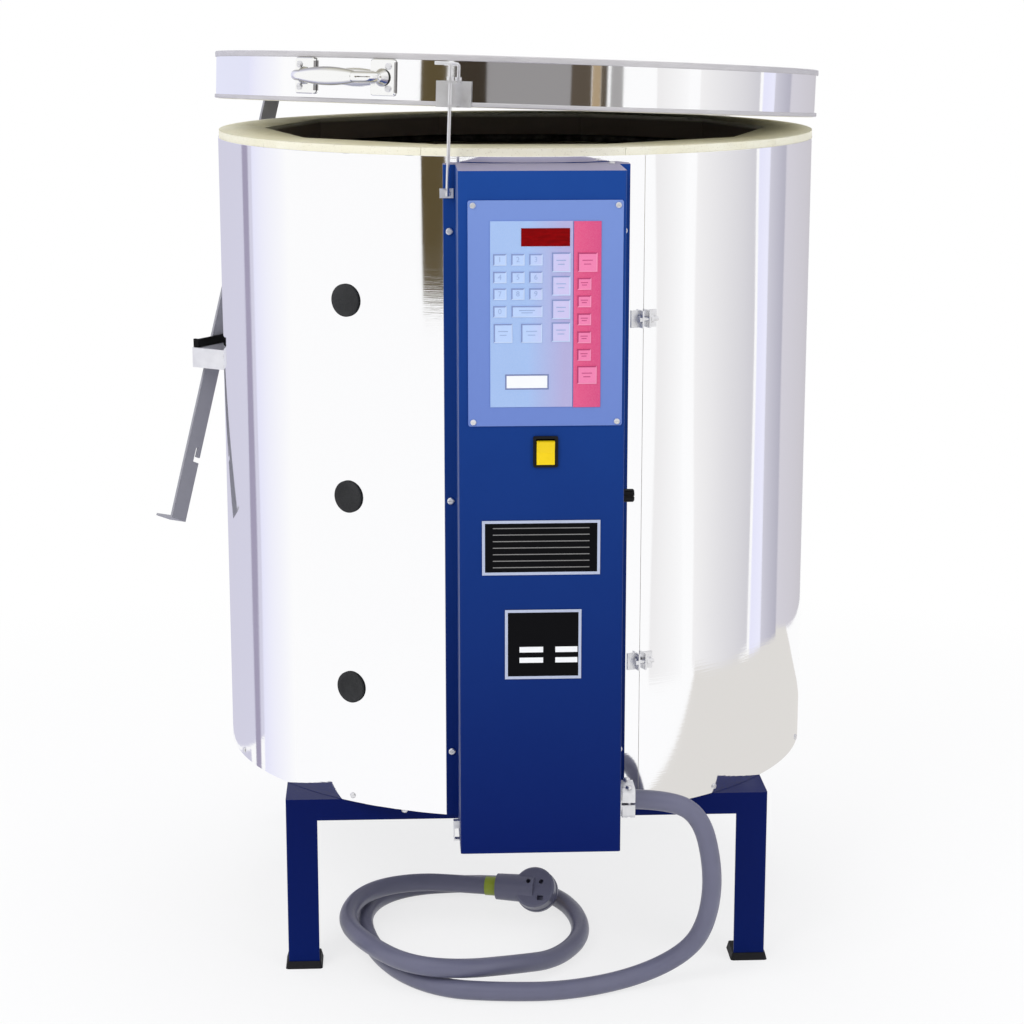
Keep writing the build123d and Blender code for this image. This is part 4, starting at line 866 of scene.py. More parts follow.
FINISHES: Dict[str, Finish] = {
    "polished_steel": MirrorSteel(),
    "zinc_steel": PlatedMetal("zinc_plate", (0.84, 0.84, 0.86), roughness=0.30, mottle=0.10),
    "chrome": CastChrome(),
    "brass": PlatedMetal("bare_brass", (0.78, 0.60, 0.26), roughness=0.25),
    "label_plate": Moulded("black_plate", (0.003, 0.003, 0.004), roughness=0.5, grain=0.00002,
                           variation=0.1, gloss=0.06),
    "firebrick": FireBrick(),
    "insulation": Fibre("ceramic_fibre", (0.80, 0.77, 0.70)),
    # Each paint's second colour is painted light and shade at its foot; box_paint also has a painted
    # reflection on faces that point up.
    "navy_paint": SatinPaint("box_paint", (0.012, 0.062, 0.290), (0.0005, 0.009, 0.108), painted_top_sheen=0.85),
    "navy_frame": SatinPaint("stand_paint", (0.0005, 0.006, 0.085), (0.0005, 0.010, 0.110),
                             foot_level=0.02, head_level=0.25),
    "light_blue_paint": SatinPaint("faceplate_paint", (0.188, 0.285, 0.630), (0.150, 0.230, 0.570),
                                   foot_level=0.70, head_level=0.98),
    "grey_paint": SatinPaint("prop_paint", (0.36, 0.36, 0.40), (0.33, 0.33, 0.37)),
    "lilac_film": PrintedFilm("keypad_film", (0.345, 0.490, 0.790), (0.420, 0.395, 0.655),
                              start=0.035, finish=0.075),
    "pink_film": PrintedFilm("function_film", (0.730, 0.085, 0.225), (0.640, 0.060, 0.200),
                             start=0.085, finish=0.115),
    "key_film": PrintedFilm("key_pads", (0.46, 0.60, 0.88), (0.58, 0.53, 0.80), start=0.035, finish=0.070),
    "pink_keys": PrintedFilm("function_pads", (0.83, 0.20, 0.40), (0.83, 0.22, 0.42)),
    "red_window": DarkWindow(),
    "black_plastic": Moulded("black_moulding", (0.008, 0.007, 0.007), roughness=0.38, gloss=0.15),
    "yellow_plastic": Moulded("yellow_rocker", (0.90, 0.64, 0.008), roughness=0.34, grain=0.00002,
                              variation=0.10, gloss=0.2),
    "dark_ceramic": Moulded("plug_ceramic", (0.042, 0.043, 0.045), roughness=0.75, grain=0.0002,
                            grain_scale=500.0, variation=0.45, gloss=0.2),
    "white_ceramic": Moulded("glazed_ceramic", (0.78, 0.76, 0.70), roughness=0.3),
    "element_wire": PlatedMetal("element_wire", (0.22, 0.20, 0.19), roughness=0.6, mottle=0.4),
    "black_rubber": Moulded("foot_rubber", (0.012, 0.012, 0.014), roughness=0.65, grain=0.0002,
                            grain_scale=600.0, gloss=0.2),
    "black_nylon": Moulded("guide_nylon", (0.006, 0.006, 0.006), roughness=0.5, gloss=0.1),
    "circuit_board": Moulded("circuit_board", (0.02, 0.16, 0.07), roughness=0.35),
    "transformer_iron": PlatedMetal("transformer_iron", (0.25, 0.2, 0.16), roughness=0.5, mottle=0.3),
    "grey_rubber": CordJacket(),
    "band_green": Moulded("cord_tape", (0.32, 0.40, 0.03), roughness=0.35),
}

PRINTS: Dict[str, Tuple[str, Moulded]] = {
    # key_shade and pink_shade are painted shade, key_light and pink_light painted highlight: darker and
    # lighter copies of the key film.
    "key_shade": ("key_film", Moulded("key_shade", (0.235, 0.300, 0.560), roughness=0.5)),
    "key_light": ("key_film", Moulded("key_light", (0.580, 0.700, 0.930), roughness=0.5)),
    "key_mark": ("key_film", Moulded("key_mark", (0.330, 0.440, 0.720), roughness=0.5)),
    "pink_shade": ("pink_keys", Moulded("pink_shade", (0.470, 0.035, 0.150), roughness=0.5)),
    "pink_light": ("pink_keys", Moulded("pink_light", (0.920, 0.300, 0.500), roughness=0.5)),
    "pink_mark": ("pink_keys", Moulded("pink_mark", (0.560, 0.070, 0.220), roughness=0.5)),
    "print_white": ("white_ceramic", Moulded("print_white", (0.90, 0.91, 0.93), roughness=0.5, grain=0.00001,
                                             variation=0.03)),
    "print_slate": ("key_film", Moulded("print_slate", (0.175, 0.215, 0.430), roughness=0.5)),
    "print_grey": ("zinc_steel", Moulded("print_grey", (0.230, 0.225, 0.220), roughness=0.5)),
    "plate_silver": ("zinc_steel", Moulded("plate_silver", (0.470, 0.520, 0.680), grain=0.00002,
                                           variation=0.08)),
}


def crease(bm: bmesh.types.BMesh, angle: float) -> None:
    """Shade a mesh smooth and keep its edges sharp past an angle.

    Args:
        bm: The mesh.
        angle: Edges sharper than this stay sharp, in degrees.
    """
    for face in bm.faces:
        face.smooth = True
    for edge in bm.edges:
        edge.smooth = len(edge.link_faces) == 2 and edge.calc_face_angle(0.0) < math.radians(angle)


def quarter_round(middle: Tuple[float, float], radius: float, start: float,
                  step: float) -> List[Tuple[float, float]]:
    """Points of a rounded corner in an outline.

    Args:
        middle: Middle of the round, as a radius and a height.
        radius: Radius of the round.
        start: Angle of its first point, in degrees.
        step: Angle from each point to the next, in degrees.

    Returns:
        The points, first to last.
    """
    angles = [math.radians(start + index * step) for index in range(5)]
    return [(middle[0] + radius * math.cos(angle), middle[1] + radius * math.sin(angle)) for angle in angles]


class Shape:
    """One bmesh in the making, with the few forms that the kiln's pieces use."""

    def __init__(self) -> None:
        """Start empty."""
        self.bm = bmesh.new()

    def slab(self, low: Point, high: Point) -> "Shape":
        """Add a box between two corners.

        Args:
            low: Lowest corner.
            high: Highest corner.

        Returns:
            This shape.
        """
        middle = [(a + b) / 2 for a, b in zip(low, high)]
        size = [b - a for a, b in zip(low, high)]
        place = Matrix.Translation(middle) @ Matrix.Diagonal((*size, 1.0))
        bmesh.ops.create_cube(self.bm, size=1.0, matrix=place)
        return self

    def lathe(self, profile: Sequence[Tuple[float, float]], steps: int, closed: bool = False) -> "Shape":
        """Spin an outline of (radius, height) points about Z.

        Args:
            profile: Outline points, of which those with radius 0 lie on the axis.
            steps: Steps of the spin.
            closed: Whether the outline joins its end to its start, as for a tube.

        Returns:
            This shape.
        """
        verts = [self.bm.verts.new((radius, 0.0, height)) for radius, height in profile]
        pairs = list(zip(verts, verts[1:]))
        if closed:
            pairs.append((verts[-1], verts[0]))
        edges = [self.bm.edges.new(pair) for pair in pairs]
        bmesh.ops.spin(self.bm, geom=verts + edges, cent=(0, 0, 0), axis=(0, 0, 1), dvec=(0, 0, 0),
                       angle=math.tau, steps=steps, use_merge=True, use_duplicate=False)
        bmesh.ops.remove_doubles(self.bm, verts=self.bm.verts[:], dist=WELD)
        return self

    def turn(self, matrix: Matrix) -> "Shape":
        """Transform everything made so far."""
        bmesh.ops.transform(self.bm, matrix=matrix, verts=self.bm.verts[:])
        return self

    def join(self, other: "Shape") -> "Shape":
        """Take another shape's mesh into this one.

        Args:
            other: The other shape, which is used up.

        Returns:
            This shape.
        """
        spare = bpy.data.meshes.new("spare")
        other.bm.to_mesh(spare)
        other.bm.free()
        self.bm.from_mesh(spare)
        bpy.data.meshes.remove(spare)
        return self

    def piece(self, name: str, material: bpy.types.Material, angle: float = CREASE) -> bpy.types.Object:
        """Finish the mesh and make its object.

        Args:
            name: The piece's name.
            material: Its finish.
            angle: Edges sharper than this stay sharp, in degrees.

        Returns:
            The object, at the origin.
        """
        bmesh.ops.recalc_face_normals(self.bm, faces=self.bm.faces[:])
        crease(self.bm, angle)
        mesh = bpy.data.meshes.new(name)
        self.bm.to_mesh(mesh)
        self.bm.free()
        mesh.materials.append(material)
        made = bpy.data.objects.new(name, mesh)
        bpy.context.scene.collection.objects.link(made)
        return made


def cut_with(target: bpy.types.Object, cutter: bpy.types.Object) -> None:
    """Cut one object with another and keep the plain mesh.

    Args:
        target: Object that is cut.
        cutter: Closed cutter, which is removed afterwards.
    """
    modifier = target.modifiers.new("cut", "BOOLEAN")
    modifier.operation = "DIFFERENCE"
    modifier.solver = "EXACT"
    modifier.object = cutter
    depsgraph = bpy.context.evaluated_depsgraph_get()
    cut = bpy.data.meshes.new_from_object(target.evaluated_get(depsgraph))
    old = target.data
    target.modifiers.clear()
    target.data = cut
    cut.name = target.name
    bm = bmesh.new()
    bm.from_mesh(cut)
    crease(bm, CREASE)
    bm.to_mesh(cut)
    bm.free()
    bpy.data.meshes.remove(old)
    bpy.data.objects.remove(cutter, do_unlink=True)


def solids_of(node: bpy.types.Object) -> List[Tuple[Vector, Vector]]:
    """Boxes of the separate solids in a node, from the top row down and each row from the left.

    Args:
        node: A CAD node, which is only read.

    Returns:
        Lowest and highest corner of each solid.
    """
    bm = bmesh.new()
    bm.from_mesh(node.data)
    bmesh.ops.remove_doubles(bm, verts=bm.verts[:], dist=SOLID_WELD)
    left = set(bm.verts)
    boxes = []
    while left:
        island = set()
        front = [left.pop()]
        while front:
            vert = front.pop()
            island.add(vert)
            for edge in vert.link_edges:
                other = edge.other_vert(vert)
                if other in left:
                    left.remove(other)
                    front.append(other)
        spots = [vert.co for vert in island]
        low = Vector([min(spot[axis] for spot in spots) for axis in range(3)])
        high = Vector([max(spot[axis] for spot in spots) for axis in range(3)])
        boxes.append((low, high))
    bm.free()
    return sorted(boxes, key=lambda box: (-round(box[1].z, 3), box[0].x))


@dataclass
class Shell:
    """Polished jacket and lid band: thin rolled sheets with their seams, folds and holes.

    Attributes:
        place: Places read from the frame.
        materials: Finished materials by slot.
        steps: Steps round the kiln.
        edge: Width of the flat that breaks the jacket's edges.
        fold_edge: Radius of the folds' corners.
        peephole_radius: Radius of the holes.
        peephole_levels: Heights of the holes.
        ring_reach: How far above and below each hole the sheet has a ring.
        hole_reach: How far a hole's cutter stands in and out of the sheet.
        hole_steps: Steps round a hole.
        seam_reach: How far a seam's cutter stands past the band's flange.
        seam_height: Height of that cutter.
    """

    place: KilnPlace
    materials: Dict[str, bpy.types.Material]
    steps: int = 288
    edge: float = 0.3 * MM
    fold_edge: float = 1.3 * MM
    peephole_radius: float = 12.5 * MM
    peephole_levels: Tuple[float, float, float] = (0.8285, 0.5960, 0.3628)
    ring_reach: float = 15.0 * MM
    hole_reach: float = 20.0 * MM
    hole_steps: int = 40
    seam_reach: float = 5.0 * MM
    seam_height: float = 2.0

    def fold(self, middle: float, base: float, top: float) -> List[Tuple[float, float]]:
        """Outer side of a fold with both corners rounded.

        Args:
            middle: Radius of the corners' middles.
            base: Height of the fold's lower side.
            top: Height of its upper side.

        Returns:
            The outline's points, going up.
        """
        soft = self.fold_edge
        lower = quarter_round((middle, base + soft), soft, -90.0, 22.5)
        return lower + quarter_round((middle, top - soft), soft, 0.0, 22.5)

    def jacket_outline(self) -> List[Tuple[float, float]]:
        """Section of the jacket, with a ring above and below each peephole.

        Returns:
            The closed outline as radii and heights.
        """
        radius = self.place.radius
        inner = radius - self.place.sizes.jacket_gauge
        base = self.place.jacket_base
        top = self.place.jacket_top
        soft = self.edge
        rings = sorted(level + side * self.ring_reach for level in self.peephole_levels for side in (-1, 1))
        outline = [(inner + soft, base), (radius - soft, base), (radius, base + soft)]
        outline += [(radius, level) for level in rings]
        outline += [(radius, top - soft), (radius - soft, top), (inner + soft, top), (inner, top - soft)]
        outline += [(inner, level) for level in reversed(rings)]
        outline.append((inner, base + soft))
        return outline

    def band_outline(self) -> List[Tuple[float, float]]:
        """Section of the lid band: wall, folded hem and lip, and the flange over the lid's top.

        Returns:
            The closed outline as radii and heights.
        """
        sizes = self.place.sizes
        radius = self.place.radius + sizes.lid_overhang
        inner = radius - sizes.jacket_gauge
        base = self.place.hinge.z - sizes.band_drop
        top = base + sizes.band_height
        hem = base + sizes.hem_height
        lip = top - sizes.lip_height
        bend = radius + sizes.fold_gauge - self.fold_edge
        outline = [(inner, base)]
        outline += self.fold(bend, base, hem)
        outline += [(radius, hem), (radius, lip)]
        outline += self.fold(bend, lip, top)
        flange = radius - sizes.flange_width
        outline += [(flange, top), (flange, top - sizes.jacket_gauge), (inner, top - sizes.jacket_gauge)]
        return outline

    def seam_cutter(self, radius: float, width: float, turn: float, place: Matrix) -> bpy.types.Object:
        """Narrow upright block that opens a seam at a bearing.

        Args:
            radius: Radius of the sheet.
            width: Width of the seam.
            turn: Bearing of the seam, in degrees.
            place: Space that the bearing is given in.

        Returns:
            The cutter.
        """
        reach = self.place.sizes.flange_width + self.seam_reach
        low = (-width / 2, -radius - reach, 0.0)
        high = (width / 2, -radius + reach, self.seam_height)
        spin = Matrix.Rotation(math.radians(turn), 4, "Z")
        shape = Shape().slab(low, high).turn(place @ spin)
        return shape.piece("seam_cutter", self.materials["polished_steel"])

    def hole_cutter(self, level: float, turn: float) -> bpy.types.Object:
        """Round cutter for a peephole.

        Args:
            level: Height of the hole.
            turn: Bearing of the hole, in degrees.

        Returns:
            The cutter.
        """
        inner = self.place.radius - self.hole_reach
        outer = self.place.radius + self.hole_reach
        outline = [(0.0, inner), (self.peephole_radius, inner), (self.peephole_radius, outer), (0.0, outer)]
        spin = Matrix.Rotation(math.radians(turn), 4, "Z") @ Matrix.Translation((0, 0, level))
        tip = Matrix.Rotation(math.radians(90), 4, "X")
        shape = Shape().lathe(outline, self.hole_steps).turn(self.place.upright() @ spin @ tip)
        return shape.piece("hole_cutter", self.materials["polished_steel"])

    def dull_folds(self, band: bpy.types.Object) -> None:
        """Give the band's hem and lip their own duller finish.

        Args:
            band: The lid band's piece.
        """
        radius = self.place.radius + self.place.sizes.lid_overhang
        back = self.place.lid_space().inverted()
        band.data.materials.append(self.materials["satin_edge"])
        for face in band.data.polygons:
            spot = back @ face.center
            if math.hypot(spot.x, spot.y) > radius + self.edge:
                face.material_index = 1

    def build(self) -> None:
        """Make the jacket and the lid band and let them stand for their nodes."""
        sizes = self.place.sizes
        steel = self.materials["polished_steel"]
        jacket = Shape().lathe(self.jacket_outline(), self.steps, closed=True).turn(self.place.upright())
        jacket_piece = jacket.piece("jacket_sheet", steel)
        cut_with(jacket_piece, self.seam_cutter(self.place.radius, sizes.seam_width, sizes.seam_azimuth,
                                                self.place.upright()))
        for level in self.peephole_levels:
            cut_with(jacket_piece, self.hole_cutter(level, sizes.lid_azimuth))
        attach(jacket_piece, Body.KILN.value)
        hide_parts("jacket")
        log.info("jacket sheet made")
        radius = self.place.radius + sizes.lid_overhang
        band = Shape().lathe(self.band_outline(), self.steps, closed=True).turn(self.place.lid_space())
        band_piece = band.piece("lid_band_sheet", steel)
        self.dull_folds(band_piece)
        cut_with(band_piece, self.seam_cutter(radius, sizes.band_seam_width, sizes.band_seam_turn,
                                              self.place.lid_space()))
        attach(band_piece, Body.LID.value)
        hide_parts("lid_band")
        log.info("lid band made")


@dataclass
class PeepholePlugs:
    """Ceramic peephole plugs: low dished heads on tapered stems."""

    place: KilnPlace
    materials: Dict[str, bpy.types.Material]
    nodes: Dict[str, bpy.types.Object]
    names: Tuple[str, ...] = ("peephole_plug_1", "peephole_plug_2", "peephole_plug_3")
    head_radius: float = 19.2 * MM
    head_height: float = 2.4 * MM
    head_round: float = 1.1 * MM
    dish_radius: float = 13.5 * MM
    dish_depth: float = 0.6 * MM
    stem_radius: float = 11.8 * MM
    stem_tip: float = 9.2 * MM
    seat_gap: float = 0.4 * MM
    steps: int = 72
    crease_angle: float = 50.0

    def outline(self, stem: float) -> List[Tuple[float, float]]:
        """Section of one plug, head forward along +Z, from the axis of the head to the stem's tip.

        Args:
            stem: Length of the stem.

        Returns:
            The outline as radii and heights.
        """
        head = self.head_height
        soft = self.head_round
        points = [(0.0, head - self.dish_depth), (self.dish_radius - soft, head - self.dish_depth),
                  (self.dish_radius, head)]
        points += quarter_round((self.head_radius - soft, head - soft), soft, 90.0, -22.5)
        points += [(self.head_radius, 0.0), (self.stem_radius, 0.0), (self.stem_tip, -stem), (0.0, -stem)]
        return points

    def build(self) -> None:
        """Turn the three plugs and let each stand for its node."""
        spin = Matrix.Rotation(math.radians(self.place.sizes.lid_azimuth), 4, "Z")
        tip = Matrix.Rotation(math.radians(90), 4, "X")
        for name in self.names:
            low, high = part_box(name)
            outward = spin.to_3x3() @ Vector((0.0, -1.0, 0.0))
            corner = Vector(((low.x + high.x) / 2, (low.y + high.y) / 2, 0.0)) - self.place.axis
            middle = corner.dot(outward)
            stem = 2.0 * (self.place.radius - middle)
            level = (low.z + high.z) / 2
            seat = Matrix.Translation((0.0, -self.place.radius - self.seat_gap, level))
            shape = Shape().lathe(self.outline(stem), self.steps)
            shape.turn(self.place.upright() @ spin @ seat @ tip)
            piece = shape.piece(name + "_turned", self.materials["dark_ceramic"], self.crease_angle)
            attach(piece, self.nodes[name]["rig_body"])
            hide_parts(name)
            log.info("%s turned", name)


@dataclass
class Prints:
    """Flat print on the box's front: painted shade and painted highlight along the keys' edges, numbers and
    rules, and what fills the bare plates.

    Attributes:
        materials: Finished materials by slot or ink.
        nodes: CAD nodes by name.
        thickness: Thickness of every print.
        painted_shade_width: Width of the painted shade along a key's upper and left edges.
        painted_highlight_share: Width of the painted highlight along its lower and right edges, as a share of
            that.
        digits: Numbers of the keys, in reading order.
        digit_size: Height of the numbers' type.
        widest_digit_key: Keys wider than this have rules in place of a number.
        key_rules: Height and length of a key's two rules, as shares of the key.
        plate_border: Width of the plates' border.
        rule_height: Thickness of the rules.
        rule_count: How many rules the wide plate has.
        rule_margin: Bare width at both ends of its rules.
        rule_start: Height of the lowest rule, as a share of the plate.
        rule_spread: Height from the lowest rule to the highest, as a share of the plate.
        field_columns: Left and right ends of the small plate's fields, as shares of the plate.
        field_rows: Lower and upper ends of those fields.
        patch_middle: Middle of the film's patch, as shares of the film.
        patch_size: Width and height of the patch.
        patch_border: Width of its border.
    """

    materials: Dict[str, bpy.types.Material]
    nodes: Dict[str, bpy.types.Object]
    thickness: float = 0.12 * MM
    painted_shade_width: float = 1.5 * MM
    painted_highlight_share: float = 0.7
    digits: str = "1234567890"
    digit_size: float = 8.0 * MM
    widest_digit_key: float = 16.0 * MM
    key_rules: Tuple[Tuple[float, float], ...] = ((0.60, 0.52), (0.40, 0.36))
    plate_border: float = 3.2 * MM
    rule_height: float = 1.0 * MM
    rule_count: int = 7
    rule_margin: float = 12.0 * MM
    rule_start: float = 0.14
    rule_spread: float = 0.72
    field_columns: Tuple[Tuple[float, float], ...] = ((0.19, 0.50), (0.66, 0.95))
    field_rows: Tuple[Tuple[float, float], ...] = ((0.235, 0.31), (0.385, 0.465))
    patch_middle: Tuple[float, float] = (0.446, 0.137)
    patch_size: Tuple[float, float] = (48.0 * MM, 17.0 * MM)
    patch_border: float = 1.6 * MM

    def strip(self, low: Vector, high: Vector, front: float) -> Shape:
        """Thin flat print between two corners of an upright face.

        Args:
            low: Corner with the lowest X and Z.
            high: Corner with the highest X and Z.
            front: Y of the face that it lies on.

        Returns:
            The print.
        """
        return Shape().slab((low.x, front - self.thickness, low.z), (high.x, front, high.z))

    def border(self, low: Vector, high: Vector, front: float, width: float,
               sides: Sequence[Side] = tuple(Side)) -> Shape:
        """Mitred strips just inside the edges of an upright face.

        Args:
            low: Lowest corner of the face.
            high: Highest corner of the face.
            front: Y of the face.
            width: Width of the strips.
            sides: The sides that get one.

        Returns:
            The strips.
        """
        shape = Shape()
        middle = (low + high) / 2
        place = (Matrix.Translation((middle.x, front, middle.z)) @ Matrix.Rotation(math.radians(90), 4, "X")
                 @ Matrix.Diagonal((high.x - low.x, high.z - low.z, 1.0, 1.0)))
        bmesh.ops.create_grid(shape.bm, x_segments=1, y_segments=1, size=0.5, matrix=place)
        inner = shape.bm.faces[:]
        ring = bmesh.ops.inset_region(shape.bm, faces=inner, thickness=width, use_boundary=True,
                                      use_even_offset=True)["faces"]
        kept = []
        for face in ring:
            offset = face.calc_center_median() - middle
            if abs(offset.x) / (high.x - low.x) > abs(offset.z) / (high.z - low.z):
                side = Side.RIGHT if offset.x > 0 else Side.LEFT
            else:
                side = Side.TOP if offset.z > 0 else Side.BOTTOM
            if side in sides:
                kept.append(face)
        spare = [face for face in shape.bm.faces if face not in kept]
        bmesh.ops.delete(shape.bm, geom=spare, context="FACES")
        raised = bmesh.ops.extrude_face_region(shape.bm, geom=shape.bm.faces[:])["geom"]
        moved = [item for item in raised if isinstance(item, bmesh.types.BMVert)]
        bmesh.ops.translate(shape.bm, vec=(0.0, -self.thickness, 0.0), verts=moved)
        return shape

    def number(self, digits: str, low: Vector, high: Vector) -> Shape:
        """Number in the middle of a key, standing up and facing the front.

        Args:
            digits: What it says.
            low: Lowest corner of the key.
            high: Highest corner of the key.

        Returns:
            The number.
        """
        text = bpy.data.curves.new("number", "FONT")
        text.body = digits
        text.size = self.digit_size
        text.extrude = self.thickness / 2
        text.align_x = "CENTER"
        text.align_y = "CENTER"
        holder = bpy.data.objects.new("number", text)
        bpy.context.scene.collection.objects.link(holder)
        depsgraph = bpy.context.evaluated_depsgraph_get()
        mesh = bpy.data.meshes.new_from_object(holder.evaluated_get(depsgraph))
        shape = Shape()
        shape.bm.from_mesh(mesh)
        bmesh.ops.remove_doubles(shape.bm, verts=shape.bm.verts[:], dist=WELD)
        spot = Vector(((low.x + high.x) / 2, low.y - self.thickness / 2, (low.z + high.z) / 2))
        shape.turn(Matrix.Translation(spot) @ Matrix.Rotation(math.radians(90), 4, "X"))
        bpy.data.objects.remove(holder, do_unlink=True)
        bpy.data.curves.remove(text)
        bpy.data.meshes.remove(mesh)
        return shape

    def rule(self, left: float, right: float, level: float, front: float) -> Shape:
        """One level rule.

        Args:
            left: X of its left end.
            right: X of its right end.
            level: Height of its middle.
            front: Y of the face that it lies on.

        Returns:
            The rule.
        """
        start = Vector((left, 0.0, level - self.rule_height / 2))
        finish = Vector((right, 0.0, level + self.rule_height / 2))
        return self.strip(start, finish, front)

    def key_marks(self, low: Vector, high: Vector) -> Shape:
        """Two short rules across a key.

        Args:
            low: Lowest corner of the key.
            high: Highest corner of the key.

        Returns:
            The rules.
        """
        both = low.x + high.x
        shape = Shape()
        for rise, share in self.key_rules:
            length = (high.x - low.x) * share
            level = low.z + (high.z - low.z) * rise
            shape.join(self.rule((both - length) / 2, (both + length) / 2, level, low.y))
        return shape

    def settle(self, shape: Shape, name: str, ink: str) -> None:
        """Finish one print and let it ride on the kiln.

        Args:
            shape: The print.
            name: The piece's name.
            ink: Its entry in PRINTS.
        """
        piece = shape.piece(name, self.materials[ink])
        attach(piece, Body.KILN.value)
        log.info("%s made", name)

    def keys(self, node: str, shade: str, light: str, mark: str) -> None:
        """Painted shade and painted highlight along the edges of one node of keys, and their marks.

        Args:
            node: The node that holds the keys.
            shade: Finish of the painted shade along the upper and left edges.
            light: Finish of the painted highlight along the lower and right edges.
            mark: Finish of the numbers and rules.
        """
        dark = Shape()
        pale = Shape()
        marks = Shape()
        digits = iter(self.digits)
        for low, high in solids_of(self.nodes[node]):
            # Painted shade along each key's upper and left edges, painted highlight along its lower and right
            # edges.
            dark.join(self.border(low, high, low.y, self.painted_shade_width, (Side.TOP, Side.LEFT)))
            pale.join(self.border(low, high, low.y, self.painted_shade_width * self.painted_highlight_share,
                                  (Side.BOTTOM, Side.RIGHT)))
            if node == "number_keys" and high.x - low.x < self.widest_digit_key:
                marks.join(self.number(next(digits), low, high))
            else:
                marks.join(self.key_marks(low, high))
        self.settle(dark, node + "_shade", shade)
        self.settle(pale, node + "_light", light)
        self.settle(marks, node + "_marks", mark)

    def patch(self) -> None:
        """Bare white patch with a soft border at the foot of the keypad film."""
        low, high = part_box("keypad_overlay")
        across, up = self.patch_middle
        middle = Vector((low.x + (high.x - low.x) * across, 0.0, low.z + (high.z - low.z) * up))
        half = Vector((self.patch_size[0] / 2, 0.0, self.patch_size[1] / 2))
        self.settle(self.strip(middle - half, middle + half, low.y), "film_patch", "print_white")
        rim = self.border(middle - half, middle + half, low.y - self.thickness, self.patch_border)
        self.settle(rim, "film_patch_border", "print_slate")

    def plates(self) -> None:
        """Bright border of both plates, ruled lines on the wide one and blank fields on the other."""
        wide, small = solids_of(self.nodes["bare_plates"])
        rim = Shape()
        for low, high in (wide, small):
            rim.join(self.border(low, high, low.y, self.plate_border))
        self.settle(rim, "plate_borders", "plate_silver")
        rules = Shape()
        low, high = wide
        for index in range(self.rule_count):
            share = self.rule_start + self.rule_spread * index / (self.rule_count - 1)
            level = low.z + (high.z - low.z) * share
            rules.join(self.rule(low.x + self.rule_margin, high.x - self.rule_margin, level, low.y))
        self.settle(rules, "plate_rules", "print_grey")
        fields = Shape()
        low, high = small
        size = high - low
        for left, right in self.field_columns:
            for foot, head in self.field_rows:
                start = Vector((low.x + size.x * left, 0.0, low.z + size.z * foot))
                finish = Vector((low.x + size.x * right, 0.0, low.z + size.z * head))
                fields.join(self.strip(start, finish, low.y))
        self.settle(fields, "plate_fields", "print_white")

    def build(self) -> None:
        """Print the keys, the film and the plates."""
        self.keys("number_keys", "key_shade", "key_light", "key_mark")
        self.keys("function_keys", "pink_shade", "pink_light", "pink_mark")
        self.patch()
        self.plates()


@dataclass
class MainsCord:
    """Mains cord on its route, from the cord clamp to the plug.

    Attributes:
        place: Places read from the frame.
        materials: Finished materials by slot.
        nodes: CAD nodes by name; not used.
        diameter: Thickness of the cord.
        length: Length along its middle; not used.
        round_steps: How finely its section is rounded.
        run_steps: Steps between two points of the route.
        route: Points from the cord clamp to the plug, round the kiln axis.
    """

    place: KilnPlace
    materials: Dict[str, bpy.types.Material]
    nodes: Dict[str, bpy.types.Object]
    diameter: float = 0.023
    length: float = 2.0923
    round_steps: int = 8
    run_steps: int = 14
    route: Tuple[Point, ...] = (
        (0.0905, -0.430, 0.258), (0.150, -0.430, 0.258), (0.196, -0.427, 0.237), (0.214, -0.414, 0.162),
        (0.212, -0.394, 0.095), (0.193, -0.374, 0.045), (0.132, -0.373, 0.012), (0.044, -0.413, 0.012),
        (-0.039, -0.412, 0.012), (-0.114, -0.397, 0.012), (-0.175, -0.324, 0.012), (-0.208, -0.193, 0.012),
        (-0.193, -0.108, 0.012), (-0.143, -0.062, 0.012), (-0.070, -0.054, 0.012), (-0.003, -0.062, 0.012),
        (0.061, -0.117, 0.012), (0.078, -0.231, 0.012), (0.037, -0.318, 0.013), (-0.020, -0.368, 0.028),
        (-0.086, -0.400, 0.0365), (-0.146, -0.387, 0.038), (-0.190, -0.330, 0.037), (-0.226, -0.239, 0.032),
        (-0.216, -0.172, 0.0365), (-0.184, -0.126, 0.0365), (-0.132, -0.108, 0.0365), (-0.080, -0.119, 0.037),
        (-0.027, -0.135, 0.038),
    )

    def points(self) -> List[Vector]:
        """The route in the shared frame."""
        return [Vector(point) + self.place.axis for point in self.route]

    def cable(self) -> bpy.types.Object:
        """The cord as one smooth spline with a round section.

        Returns:
            The curve object.
        """
        curve = bpy.data.curves.new("mains_cord", "CURVE")
        curve.dimensions = "3D"
        curve.bevel_depth = self.diameter / 2
        curve.bevel_resolution = self.round_steps
        curve.resolution_u = self.run_steps
        curve.use_fill_caps = True
        spline = curve.splines.new("NURBS")
        points = self.points()
        spline.points.add(len(points) - 1)
        for target, point in zip(spline.points, points):
            target.co = (*point, 1.0)
        spline.order_u = 3
        spline.use_endpoint_u = True
        curve.materials.append(self.materials["grey_rubber"])
        made = bpy.data.objects.new("mains_cord", curve)
        bpy.context.scene.collection.objects.link(made)
        return made

    def build(self) -> None:
        cable = self.cable()
        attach(cable, Body.KILN.value)
        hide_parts("power_cord")
        log.info("cord laid")


@dataclass(frozen=True)
class Panel:
    """Upright studio panel that only polished metal sees.

    Attributes:
        name: The panel's name.
        bearing: Direction from the kiln, in degrees, 0 to the camera and positive to the right.
        width: Width in degrees.
        distance: How far it stands from the kiln axis.
        base: Height of its lower edge.
        top: Height of its upper edge.
        colour: What it shines with at its edge with the smaller bearing.
        turned: What it shines with at its other edge, or None for the same colour.
    """

    name: str
    bearing: float
    width: float
    distance: float
    base: float
    top: float
    colour: Colour
    turned: Optional[Colour] = None


